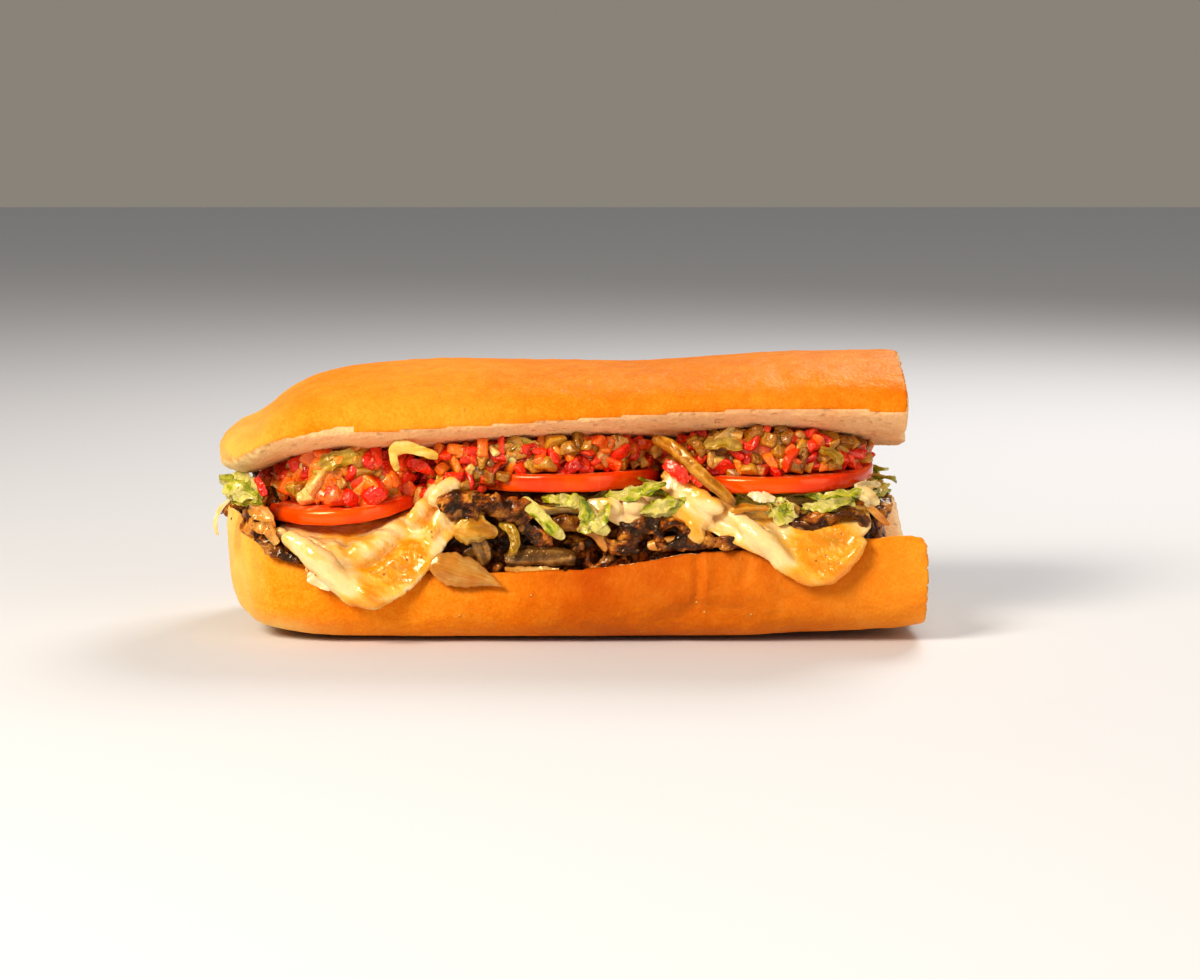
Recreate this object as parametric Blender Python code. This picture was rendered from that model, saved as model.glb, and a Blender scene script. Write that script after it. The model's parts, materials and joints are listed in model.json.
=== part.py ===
"""Cut piece of a submarine sandwich: a long soft roll split lengthways and filled with shredded steak.

Metres, +Z up, standing on its flat base. X runs along the roll, from the baked round end at -X to the
square cut at +X, and the open side of the filling faces -Y. The roll halves and the layers between
them are each a closed section swept along X. Every layer takes its lower face from the layer under
it, so that the stack closes with one small gap between any two pieces.
"""

import math

import bmesh
import bpy
import numpy as np
from mathutils import Matrix, Vector, noise

# Gaps left between pieces that rest on each other.
GAP = 0.0004
SOFT_GAP = 0.0006

# Lower half of the roll.
LOWER_TIP = -0.0995
LOWER_CUT = 0.0998
HALF_WIDTH = 0.042
BASE_HALF_WIDTH = 0.030
LIP_HALF_WIDTH = 0.0385
BULGE_HEIGHT = 0.013
TROUGH_DEPTH = 0.0095

# Upper half of the roll.
UPPER_TIP = -0.1022
UPPER_CUT = 0.0932
UPPER_HALF_WIDTH = 0.0395
CREST_SHIFT = 0.004
CUT_SKEW = 0.09
CUT_ROUNDING = 0.0036
CHEEK = 0.0020

# Round end of the roll, and the longest step between sections of the filling.
ROUND_REACH = 0.030
STATION_STEP = 0.007

# Filling.
FILL_HALF_WIDTH = 0.0335
CHEESE_THICKNESS = 0.0018
DRIP_THICKNESS = 0.0034
CHEESE_ACROSS = (0.0335, 0.0285, 0.0180, -0.0150, -0.0240, -0.0315)
LETTUCE_THICKNESS = 0.0028
LETTUCE_START = -0.0115
RELISH_SHOULDER = 0.0035

# Tomato slices: name, centre of the underside, radius, thickness, rise towards +Y and towards +X.
TOMATOES = (
    ("tomato_left", (-0.0658, -0.0160, 0.0362), 0.0222, 0.0042, 0.125, 0.075),
    ("tomato_middle", (-0.0036, -0.0095, 0.0420), 0.0290, 0.0050, -0.030, 0.012),
    ("tomato_right", (0.0572, -0.0090, 0.0424), 0.0295, 0.0046, 0.000, 0.030),
)

# Colour and roughness of each material.
FINISHES = {
    "crust": ((0.86, 0.45, 0.12), 0.50),
    "steak": ((0.16, 0.07, 0.03), 0.45),
    "cheese": ((0.95, 0.74, 0.33), 0.30),
    "lettuce": ((0.55, 0.66, 0.16), 0.40),
    "tomato": ((0.86, 0.13, 0.03), 0.25),
    "relish": ((0.78, 0.16, 0.04), 0.25),
    "onion": ((0.84, 0.62, 0.34), 0.25),
    "mushroom": ((0.30, 0.17, 0.08), 0.35),
    "pepper": ((0.72, 0.52, 0.10), 0.25),
}


def through(points):
    """A smooth function of x through these (x, value) points, with no overshoot between them."""
    xs, values = (np.array(column, float) for column in zip(*points))
    steps = np.diff(values) / np.diff(xs)
    slopes = np.zeros(len(xs))
    slopes[0], slopes[-1] = steps[0], steps[-1]
    same_way = steps[:-1] * steps[1:] > 0
    total = np.where(same_way, steps[:-1] + steps[1:], 1.0)
    slopes[1:-1] = np.where(same_way, 2 * steps[:-1] * steps[1:] / total, 0.0)

    def value(x):
        x = float(np.clip(x, xs[0], xs[-1]))
        i = int(np.clip(np.searchsorted(xs, x) - 1, 0, len(xs) - 2))
        span = xs[i + 1] - xs[i]
        t = (x - xs[i]) / span
        rise, fall = t * t * (3 - 2 * t), t * (1 - t)
        bend = fall * (1 - t) * slopes[i] - fall * t * slopes[i + 1]
        return float(values[i] + rise * (values[i + 1] - values[i]) + span * bend)

    return value


# Height of the lower half's base, of its front and back lips, along x.
lower_base = through(
    (
        (LOWER_TIP, 0.0190),
        (-0.0980, 0.0120),
        (-0.0940, 0.0060),
        (-0.0870, 0.0022),
        (-0.0750, 0.0006),
        (-0.0580, 0.0),
        (0.0450, 0.0),
        (0.0620, 0.0012),
        (0.0900, 0.0020),
        (LOWER_CUT, 0.0040),
    )
)
front_lip = through(
    (
        (LOWER_TIP, 0.0375),
        (-0.0945, 0.0365),
        (-0.0905, 0.0335),
        (-0.0860, 0.0275),
        (-0.0740, 0.0225),
        (-0.0200, 0.0208),
        (0.0010, 0.0210),
        (0.0300, 0.0260),
        (0.0500, 0.0275),
        (0.0830, 0.0308),
        (LOWER_CUT, 0.0322),
    )
)
back_lip = through(
    (
        (LOWER_TIP, 0.0375),
        (-0.0850, 0.0350),
        (-0.0300, 0.0320),
        (0.0400, 0.0310),
        (LOWER_CUT, 0.0330),
    )
)

# Heights of the upper half: its front and back crust edges, its crest, and the crumb below the edges.
upper_front = through(
    (
        (UPPER_TIP, 0.0520),
        (-0.0922, 0.0518),
        (-0.0895, 0.0543),
        (-0.0856, 0.0566),
        (-0.0795, 0.0584),
        (-0.0566, 0.0598),
        (-0.0063, 0.0630),
        (0.0270, 0.0652),
        (0.0600, 0.0665),
        (0.0780, 0.0664),
        (UPPER_CUT, 0.0648),
    )
)
upper_back = through(((UPPER_TIP, 0.0500), (-0.0800, 0.0490), (0.0, 0.0500), (UPPER_CUT, 0.0515)))
crest = through(
    (
        (UPPER_TIP, 0.0545),
        (-0.0990, 0.0580),
        (-0.0937, 0.0604),
        (-0.0897, 0.0622),
        (-0.0870, 0.0655),
        (-0.0820, 0.0690),
        (-0.0760, 0.0716),
        (-0.0684, 0.0741),
        (-0.0560, 0.0757),
        (-0.0300, 0.0765),
        (0.0220, 0.0757),
        (0.0470, 0.0778),
        (0.0700, 0.0789),
        (UPPER_CUT, 0.0790),
    )
)
crumb_drop = through(
    ((UPPER_TIP, 0.0050), (-0.0900, 0.0070), (-0.0700, 0.0056), (0.0, 0.0050), (UPPER_CUT, 0.0064))
)
# Thickness of the lettuce, which lies under the middle and right tomato slices only.
lettuce_depth = through(((-0.0180, 0.0), (-0.0100, LETTUCE_THICKNESS), (0.0900, LETTUCE_THICKNESS)))
# How far the steak stands above the cheese's level where it is bare, at both ends.
bare_rise = through(
    (
        (-0.0980, 0.0),
        (-0.0905, 0.0016),
        (-0.0882, 0.0),
        (0.0868, 0.0),
        (0.0897, 0.0060),
        (0.0925, 0.0060),
    )
)

# Plan of the relish heap: its front edge follows the rims of the tomato slices.
relish_front = through(
    (
        (-0.0870, -0.0150),
        (-0.0800, -0.0270),
        (-0.0655, -0.0355),
        (-0.0530, -0.0320),
        (-0.0450, -0.0215),
        (-0.0425, -0.0220),
        (-0.0370, -0.0335),
        (-0.0040, -0.0352),
        (0.0120, -0.0312),
        (0.0200, -0.0238),
        (0.0250, -0.0180),
        (0.0320, -0.0300),
        (0.0400, -0.0325),
        (0.0570, -0.0355),
        (0.0720, -0.0310),
        (0.0800, -0.0240),
        (0.0850, -0.0160),
    )
)
RELISH_ENDS = (-0.0870, 0.0850)
RELISH_BACK = 0.0300

# Lowest level that the melted cheese reaches in front, along x: two drips over the crust.
CHEESE_ENDS = (-0.0840, 0.0840)
cheese_hem = through(
    (
        (-0.0840, 0.0330),
        (-0.0790, 0.0300),
        (-0.0720, 0.0235),
        (-0.0640, 0.0165),
        (-0.0560, 0.0128),
        (-0.0480, 0.0148),
        (-0.0420, 0.0195),
        (-0.0360, 0.0275),
        (-0.0300, 0.0345),
        (-0.0220, 0.0385),
        (0.0060, 0.0385),
        (0.0130, 0.0330),
        (0.0240, 0.0315),
        (0.0330, 0.0345),
        (0.0430, 0.0300),
        (0.0520, 0.0255),
        (0.0600, 0.0215),
        (0.0670, 0.0200),
        (0.0740, 0.0225),
        (0.0790, 0.0285),
        (0.0840, 0.0345),
    )
)


def round_end(x, tip, reach, share):
    """From share at the tip to 1 at reach from it, along a quarter of an ellipse."""
    d = min(max((x - tip) / reach, 0.0), 1.0)
    return share + (1 - share) * math.sqrt(1 - (1 - d) ** 2)


def roll_stations(start, end):
    """Places along x at which a roll half is cut, closer together over its round end."""
    near = start + np.linspace(0.0, 1.0, 8) ** 1.6 * ROUND_REACH
    far = np.linspace(start + ROUND_REACH, end, 15)
    return np.concatenate([near[:-1], far])


def fill_stations(before=(), after=()):
    """Places shared by all the filling's layers, with one at each end of every tomato slice."""
    bends = [CHEESE_ENDS[0], *(x for t in TOMATOES for x in slice_ends(t)), CHEESE_ENDS[1]]
    bends = [x for x in bends if CHEESE_ENDS[0] <= x <= CHEESE_ENDS[1]]
    places = [bends[0]]
    for near, far in zip(bends, bends[1:]):
        count = math.ceil((far - near) / STATION_STEP)
        places += list(np.linspace(near, far, count + 1)[1:])
    return [*before, *places, *after]


def lower_scale(x):
    return round_end(x, LOWER_TIP, ROUND_REACH, 0.40)


def upper_scale(x):
    return round_end(x, UPPER_TIP, ROUND_REACH, 0.26)


def cut_face(x, y):
    """Height of the lower half's cut face, which sags between its two lips."""
    t = min(max(y / (lower_scale(x) * LIP_HALF_WIDTH), -1.0), 1.0)
    lips = front_lip(x) * (1 - t) / 2 + back_lip(x) * (1 + t) / 2
    return lips - TROUGH_DEPTH * lower_scale(x) * (1 - abs(t) ** 3)


def lower_side(x, z, lip):
    """Half width of the lower half at height z: a round corner below, then a slight taper to the lip."""
    base = lower_base(x)
    bulge = base + BULGE_HEIGHT
    if z < bulge:
        rise = math.sqrt(max(0.0, 1 - ((bulge - z) / BULGE_HEIGHT) ** 2))
        width = BASE_HALF_WIDTH + (HALF_WIDTH - BASE_HALF_WIDTH) * rise
    else:
        share = (z - bulge) / max(lip - bulge, 0.004)
        width = HALF_WIDTH - (HALF_WIDTH - LIP_HALF_WIDTH) * share**2
    return lower_scale(x) * width


def underside(x, y):
    """Height of the upper half's crumb face, which swells below the line between its crust edges."""
    half = upper_scale(x) * UPPER_HALF_WIDTH
    t = min(max(y / half, -1.0), 1.0)
    edges = upper_front(x) * (1 - t) / 2 + upper_back(x) * (1 + t) / 2
    return edges - crumb_drop(x) * (1 - abs(t) ** 4) ** 0.6


def slice_ends(tomato):
    """The x of a slice's two ends."""
    return tomato[1][0] - tomato[2], tomato[1][0] + tomato[2]


def tomato_plane(tomato, x, y):
    """Height of a slice's underside, carried on past its rim."""
    centre, rise_y, rise_x = tomato[1], tomato[4], tomato[5]
    return centre[2] + rise_y * (y - centre[1]) + rise_x * (x - centre[0])


def seat(x, y):
    """The level on which the tomato slices lie, blended in the spaces between them."""
    level = tomato_plane(TOMATOES[0], x, y)
    for before, after in zip(TOMATOES, TOMATOES[1:]):
        leave, reach = slice_ends(before)[1], slice_ends(after)[0]
        t = min(max((x - leave) / (reach - leave), 0.0), 1.0)
        level += (tomato_plane(after, x, y) - tomato_plane(before, x, y)) * t * t * (3 - 2 * t)
    beyond = min(max((slice_ends(TOMATOES[0])[0] - x) / 0.006, 0.0), 1.0)
    return level + 0.0065 * beyond * beyond * (3 - 2 * beyond)


def rounded(x, y):
    """How far the filling's top has dropped towards its front, back and ends."""
    side = max(abs(y) / FILL_HALF_WIDTH, 0.0)
    left = max((-0.088 - x) / 0.012, 0.0)
    right = max((x - 0.084) / 0.012, 0.0)
    return 0.0040 * min(side, 1.2) ** 5 + 0.004 * (left**2 + right**2)


def cheese_top(x, y):
    return seat(x, y) - lettuce_depth(x) - 2 * GAP - rounded(x, y)


def steak_top(x, y):
    return cheese_top(x, y) - CHEESE_THICKNESS - 2 * SOFT_GAP + bare_rise(x)


def uneven(x, y, z, size, depth):
    """A lump in a heap's outline, the same at the same place on every run."""
    return depth * noise.noise(Vector((x, y, z)) / size)


def new_object(name, mesh, finish):
    """A named object with its own material, in the scene."""
    colour, roughness = FINISHES[finish]
    material = bpy.data.materials.new(f"{name}_{finish}")
    material.use_nodes = True
    shader = material.node_tree.nodes["Principled BSDF"]
    shader.inputs["Base Color"].default_value = (*colour, 1.0)
    shader.inputs["Roughness"].default_value = roughness
    shader.inputs["Metallic"].default_value = 0.0
    mesh.materials.append(material)
    made = bpy.data.objects.new(name, mesh)
    bpy.context.scene.collection.objects.link(made)
    return made


def loft(name, rings, finish):
    """A closed solid through these rings of points, with its two ends filled."""
    work = bmesh.new()
    loops = [[work.verts.new(point) for point in ring] for ring in rings]
    for near, far in zip(loops, loops[1:]):
        for i, vertex in enumerate(near):
            following = (i + 1) % len(near)
            work.faces.new((vertex, near[following], far[following], far[i]))
    work.faces.new(loops[0])
    work.faces.new(loops[-1])
    bmesh.ops.recalc_face_normals(work, faces=work.faces)
    mesh = bpy.data.meshes.new(name)
    work.to_mesh(mesh)
    work.free()
    mesh.shade_smooth()
    mesh.set_sharp_from_angle(angle=math.radians(40))
    return new_object(name, mesh, finish)


def lower_ring(x):
    """Section of the lower half: down its front, along the base, up its back and across the cut face."""
    base, front, back = lower_base(x), front_lip(x), back_lip(x)
    corner = [base + BULGE_HEIGHT * (1 - math.sin(a)) for a in np.radians((0, 30, 60, 90))]
    ring = []
    for lip, way in ((front, -1), (back, 1)):
        levels = [lip, (lip + base + BULGE_HEIGHT) / 2, *corner]
        side = [(x, way * lower_side(x, z, lip), z) for z in levels]
        ring += side if way < 0 else side[::-1]
    across = lower_scale(x) * LIP_HALF_WIDTH
    inner = [across * t for t in (0.94, 0.80, 0.55, 0.28, 0.0, -0.28, -0.55, -0.80, -0.94)]
    return ring + [(x, y, cut_face(x, y)) for y in inner]


def skewed(ring, cut, reach=0.040):
    """The section turned a little about its front edge as it nears the cut, with the crest drawn in."""
    near = min(max((ring[0][0] - cut + reach) / reach, 0.0), 1.0) ** 2
    levels = [z for _, _, z in ring]
    low, high = min(levels), max(levels)
    turned = []
    for x, y, z in ring:
        crown = max((z - low) / (high - low) - 0.75, 0.0) / 0.25
        back = CUT_SKEW * (y + HALF_WIDTH) - CUT_ROUNDING * crown**2
        turned.append((x + near * back, y, z))
    return turned


def upper_ring(x):
    """Section of the upper half: over the dome from front to back, and back along the crumb face."""
    scale = upper_scale(x)
    half, shift = scale * UPPER_HALF_WIDTH, scale * CREST_SHIFT
    ring = []
    for a in np.radians((0, 10, 24, 40, 58, 76, 90, 104, 122, 140, 156, 170, 180)):
        edge, reach = (upper_front(x), shift + half) if a < math.pi / 2 else (upper_back(x), half - shift)
        along = math.copysign(abs(math.cos(a)) ** 0.85, -math.cos(a))
        cheek = CHEEK * scale * math.sin(2 * a)
        level = edge + (crest(x) - edge) * abs(math.sin(a)) ** 0.85
        ring.append((x, shift + reach * along - cheek, level))
    inner = (0.95, 0.80, 0.55, 0.28, 0.0, -0.28, -0.55, -0.80, -0.95)
    return ring + [(x, half * t, underside(x, half * t)) for t in inner]


def heap_ring(x, front, back, bottom, top, shoulder, lump=0.0):
    """Section of a heap between two levels, with its upper edges rounded over 'shoulder'."""
    share = 0.5 - 0.5 * np.cos(np.linspace(0, math.pi, 9))
    ys = front + (back - front) * share
    lower = [(x, y, bottom(x, y)) for y in ys]
    upper = []
    for y in ys[::-1]:
        inside = min(1.0, (min(y - front, back - y) + 0.0014) / shoulder)
        low = bottom(x, y) + 0.0012
        level = low + (top(x, y) - low) * math.sqrt(1 - (1 - inside) ** 2)
        upper.append((x, y, level))
    if lump:
        edge = uneven(x, front, 0.03, 0.011, lump)
        rear = uneven(x, back, 0.03, 0.011, lump)
        pull = [(1 - s) ** 6 * edge + s**6 * rear for s in share]
        lower = [(px, py + d, pz) for (px, py, pz), d in zip(lower, pull)]
        upper = [(px, py + d, pz) for (px, py, pz), d in zip(upper, pull[::-1])]
    return lower + upper


def lower_roll():
    places = roll_stations(LOWER_TIP, LOWER_CUT)
    return loft("lower_roll", [lower_ring(x) for x in places], "crust")


def upper_roll():
    places = roll_stations(UPPER_TIP, UPPER_CUT)
    return loft("upper_roll", [skewed(upper_ring(x), UPPER_CUT) for x in places], "crust")


def steak_heap():
    """The steak fills the trough and stands above both lips, set back so that slices lie before it."""
    start, end = -0.0960, 0.0925
    rings = []
    for x in fill_stations((start, -0.0935, -0.0905, -0.0882), (0.0868, 0.0897, end)):
        ends = min(round_end(x, start, 0.014, 0.35), round_end(-x, -end, 0.010, 0.5))
        half = FILL_HALF_WIDTH * min(ends, lower_scale(x) * 0.95)
        rings.append(
            heap_ring(
                x,
                -half,
                half,
                lambda px, py: cut_face(px, py) + 2 * SOFT_GAP,
                steak_top,
                0.007,
                lump=0.0016,
            )
        )
    return loft("steak_heap", rings, "steak")


def drape(x):
    """Centre line of the melted cheese at x, from the back over the steak to its hem in front."""
    hem, lip = cheese_hem(x), front_lip(x)
    top = [(y, cheese_top(x, y) - CHEESE_THICKNESS / 2) for y in CHEESE_ACROSS]
    side = -LIP_HALF_WIDTH * lower_scale(x) - DRIP_THICKNESS / 2 - SOFT_GAP
    short = min(max((hem - lip - 0.0010) / 0.006, 0.0), 1.0)
    edge_y = side + (top[-1][0] - 0.0045 - side) * short
    over = (edge_y, max(hem, lip + 0.0022))
    knee = ((top[-1][0] + over[0]) / 2 - 0.0008, (top[-1][1] + over[1]) / 2 + 0.0010)
    falls = [over[1] + (min(hem, over[1] - 0.0008) - over[1]) * share for share in (0.33, 0.67, 1.0)]
    bulge = [min(edge_y, -lower_side(x, min(z, lip), lip) - DRIP_THICKNESS / 2 - SOFT_GAP) for z in falls]
    down = [(y + (edge_y - y) * short, z) for y, z in zip(bulge, falls)]
    return [*top, knee, over, *down]


def cheese_ring(x):
    """The drape with its thickness: thin over the steak, thick and round at the hem of a drip."""
    line = np.array(drape(x))
    way = np.gradient(line, axis=0)
    way /= np.linalg.norm(way, axis=1)[:, None]
    across = np.column_stack([way[:, 1], -way[:, 0]])
    share = np.linspace(0.0, 1.0, len(line))
    hanging = min(max((front_lip(x) + 0.006 - cheese_hem(x)) / 0.010, 0.0), 1.0)
    thick = CHEESE_THICKNESS + (DRIP_THICKNESS - CHEESE_THICKNESS) * hanging * share**3
    thick[-2:] *= (0.9, 0.45)
    thick[0] *= 0.5
    outer = line - across * thick[:, None] / 2
    inner = line + across * thick[:, None] / 2
    return [(x, *point) for point in outer] + [(x, *point) for point in inner[::-1]]


def melted_cheese():
    """One sheet of cheese over the steak, which runs down over the front lip in two drips."""
    places = fill_stations()
    halfway = [(near + far) / 2 for near, far in zip(places, places[1:])]
    between = [x for x in halfway if x < -0.030 or x > 0.040]
    return loft("melted_cheese", [cheese_ring(x) for x in sorted(places + between)], "cheese")


def lettuce_bed():
    """Shredded lettuce between the cheese and the two larger tomato slices."""
    start, end = LETTUCE_START, CHEESE_ENDS[1]
    rings = []
    for x in (place for place in fill_stations() if place > start):
        ends = min(round_end(x, start, 0.016, 0.55), round_end(-x, -end, 0.010, 0.5))
        half = 0.0315 * ends
        rings.append(
            heap_ring(
                x,
                -half,
                half,
                lambda px, py: cheese_top(px, py) + 1.5 * SOFT_GAP,
                lambda px, py: seat(px, py) - GAP,
                0.004,
                lump=0.0006,
            )
        )
    return loft("lettuce_bed", rings, "lettuce")


def tomato_slice(tomato, name=None, grow=0.0):
    """A slice with a slightly lobed outline and rounded skin edges; 'grow' thickens it all over."""
    own_name, centre, radius, thickness, rise_y, rise_x = tomato
    edge = 0.0007
    levels = (
        (-edge, 0.0 - grow),
        (0.0, edge),
        (0.0, thickness - edge),
        (-edge, thickness + grow),
    )
    angles = np.linspace(0, 2 * math.pi, 30, endpoint=False)
    rings = []
    for inset, height in levels if not grow else ((0.0, -grow), (0.0, thickness + grow)):
        ring = []
        for a in angles:
            lobed = radius * (1 + 0.012 * math.cos(5 * a + centre[0] * 90)) + inset + grow
            x, y = centre[0] + lobed * math.cos(a), centre[1] + lobed * math.sin(a)
            level = centre[2] + rise_x * (x - centre[0]) + rise_y * (y - centre[1])
            ring.append((x, y, level + height))
        rings.append(ring)
    return loft(name or own_name, rings, "tomato")


def cut_by(target, cutters):
    """Takes the cutters' shapes away from the target, and leaves them as wire guides."""
    for cutter in cutters:
        cutter.hide_render = True
        cutter.display_type = "WIRE"
        modifier = target.modifiers.new(f"less_{cutter.name}", "BOOLEAN")
        modifier.operation = "DIFFERENCE"
        modifier.solver = "EXACT"
        modifier.object = cutter


def pepper_relish():
    """Chopped pepper heaped on the tomato slices, up to the crumb of the upper half."""
    start, end = RELISH_ENDS
    rings = []
    for x in fill_stations((start,), (end,)):
        ends = min(round_end(x, start, 0.012, 0.55), round_end(-x, -end, 0.012, 0.55))
        rings.append(
            heap_ring(
                x,
                relish_front(x),
                RELISH_BACK * ends,
                lambda px, py: seat(px, py) + SOFT_GAP,
                lambda px, py: underside(px, py) - SOFT_GAP - 0.004 * (1 - ends),
                RELISH_SHOULDER,
                lump=0.0010,
            )
        )
    relish = loft("pepper_relish", rings, "relish")
    cut_by(relish, [tomato_slice(t, name=f"space_{t[0]}", grow=SOFT_GAP) for t in TOMATOES])
    return relish


def sweep(name, path, width, thickness, finish, up=(0.0, -1.0, 0.0), cup=0.0, taper=0.55):
    """A strip along a smooth path: an oval section, narrower at both ends and bowed by 'cup'."""
    points = [Vector(point) for point in path]
    line = []
    for i, (a, b) in enumerate(zip(points, points[1:])):
        before = points[i - 1] if i else a - (b - a)
        after = points[i + 2] if i + 2 < len(points) else b + (b - a)
        for t in (0.0, 0.5):
            line.append(
                0.5 * (2 * a + t * (b - before) + t * t * (2 * before - 5 * a + 4 * b - after)
                       + t**3 * (3 * a - before - 3 * b + after))
            )
    line.append(points[-1])
    rings = []
    for i, centre in enumerate(line):
        forward = (line[min(i + 1, len(line) - 1)] - line[max(i - 1, 0)]).normalized()
        face = Vector(up)
        face = (face - forward * face.dot(forward)).normalized()
        side = forward.cross(face)
        along = i / (len(line) - 1)
        fullness = taper + (1 - taper) * math.sqrt(1 - (2 * along - 1) ** 4)
        ring = []
        for a in np.linspace(0, 2 * math.pi, 8, endpoint=False):
            across = math.cos(a)
            bow = -cup * across**2
            offset = side * (width / 2 * fullness * across)
            offset += face * (thickness / 2 * math.sin(a) * (0.6 + 0.4 * fullness) + bow)
            ring.append(centre + offset)
        rings.append(ring)
    return loft(name, rings, finish)


def mushroom_slice(name, centre, size, thickness, turn, lean=0.0):
    """A slice through a mushroom: a domed cap with two curled rims and a short stem."""
    cap = [(math.cos(a), 0.78 * math.sin(a)) for a in np.linspace(0, math.pi, 13)]
    rim = [(-0.86, -0.24), (-0.58, -0.20), (-0.30, -0.02)]
    stem = [(-0.26, -0.62), (0.0, -0.72), (0.26, -0.62)]
    outline = cap + rim + stem + [(-x, y) for x, y in rim[::-1]]
    place = (
        Matrix.Translation(Vector(centre))
        @ Matrix.Rotation(turn, 4, "Y")
        @ Matrix.Rotation(lean, 4, "X")
    )
    rings = []
    for depth, inset in ((-0.5, 0.88), (-0.28, 1.0), (0.28, 1.0), (0.5, 0.88)):
        rings.append(
            [place @ Vector((x * inset * size / 2, depth * thickness, y * inset * size / 2)) for x, y in outline]
        )
    return loft(name, rings, "mushroom")


def onion_slices():
    """Cooked onion in the open side: a petal over the lip, an amber slice and two small pieces."""
    sweep(
        "onion_petal_front",
        (
            (-0.0398, -0.0426, 0.0226),
            (-0.0350, -0.0433, 0.0230),
            (-0.0265, -0.0437, 0.0205),
            (-0.0195, -0.0437, 0.0172),
        ),
        0.0078,
        0.0014,
        "onion",
        up=(0.0, -1.0, 0.25),
        cup=0.0004,
        taper=0.25,
    )
    sweep(
        "onion_slice_amber",
        (
            (-0.0335, -0.0378, 0.0316),
            (-0.0295, -0.0388, 0.0323),
            (-0.0250, -0.0386, 0.0320),
            (-0.0212, -0.0376, 0.0306),
        ),
        0.0064,
        0.0013,
        "onion",
        cup=0.0005,
    )
    sweep(
        "onion_strip_right",
        ((0.0818, -0.0381, 0.0404), (0.0850, -0.0380, 0.0372), (0.0890, -0.0369, 0.0340)),
        0.0026,
        0.0013,
        "onion",
    )
    sweep(
        "onion_strip_middle",
        ((0.0440, -0.0449, 0.0388), (0.0495, -0.0455, 0.0398), (0.0550, -0.0442, 0.0390)),
        0.0026,
        0.0012,
        "onion",
    )
    sweep(
        "onion_piece_left",
        ((-0.0732, -0.0426, 0.0232), (-0.0716, -0.0434, 0.0206), (-0.0702, -0.0436, 0.0186)),
        0.0052,
        0.0010,
        "onion",
        taper=0.7,
    )


def mushroom_slices():
    """Cooked mushroom in the open side, low down against the steak."""
    mushroom_slice("mushroom_slice_left", (-0.0272, -0.0352, 0.0262), 0.0105, 0.0030, math.radians(70))
    sweep(
        "mushroom_slice_long",
        (
            (-0.0190, -0.0362, 0.0232),
            (-0.0130, -0.0370, 0.0245),
            (-0.0060, -0.0372, 0.0250),
            (0.0008, -0.0364, 0.0240),
        ),
        0.0062,
        0.0036,
        "mushroom",
        taper=0.7,
    )
    sweep(
        "mushroom_slice_curled",
        (
            (0.0010, -0.0354, 0.0322),
            (0.0050, -0.0366, 0.0318),
            (0.0080, -0.0370, 0.0292),
            (0.0092, -0.0366, 0.0262),
        ),
        0.0036,
        0.0028,
        "mushroom",
    )
    sweep(
        "mushroom_slice_right",
        ((0.0208, -0.0364, 0.0277), (0.0250, -0.0370, 0.0283), (0.0296, -0.0368, 0.0296)),
        0.0038,
        0.0032,
        "mushroom",
        taper=0.6,
    )
    sweep(
        "mushroom_slice_low",
        ((0.0112, -0.0360, 0.0256), (0.0150, -0.0368, 0.0260), (0.0188, -0.0366, 0.0265)),
        0.0032,
        0.0030,
        "mushroom",
        taper=0.6,
    )


def pepper_strips():
    """Cooked and pickled pepper: two curls, a long slanting strip and a short green piece."""
    sweep(
        "pepper_curl_left",
        (
            (-0.0206, -0.0358, 0.0338),
            (-0.0172, -0.0380, 0.0326),
            (-0.0160, -0.0398, 0.0288),
            (-0.0174, -0.0402, 0.0250),
        ),
        0.0034,
        0.0018,
        "pepper",
    )
    sweep(
        "pepper_curl_top",
        (
            (-0.0490, -0.0365, 0.0495),
            (-0.0505, -0.0365, 0.0535),
            (-0.0475, -0.0367, 0.0556),
            (-0.0425, -0.0372, 0.0546),
            (-0.0375, -0.0372, 0.0532),
        ),
        0.0030,
        0.0014,
        "pepper",
    )
    sweep(
        "pepper_strip_long",
        (
            (0.0225, -0.0300, 0.0570),
            (0.0275, -0.0345, 0.0554),
            (0.0325, -0.0385, 0.0510),
            (0.0385, -0.0410, 0.0460),
            (0.0450, -0.0420, 0.0402),
        ),
        0.0046,
        0.0018,
        "pepper",
    )
    sweep(
        "pepper_piece_green",
        ((0.0545, -0.0376, 0.0386), (0.0590, -0.0389, 0.0382), (0.0635, -0.0384, 0.0376)),
        0.0050,
        0.0014,
        "pepper",
    )


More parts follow.
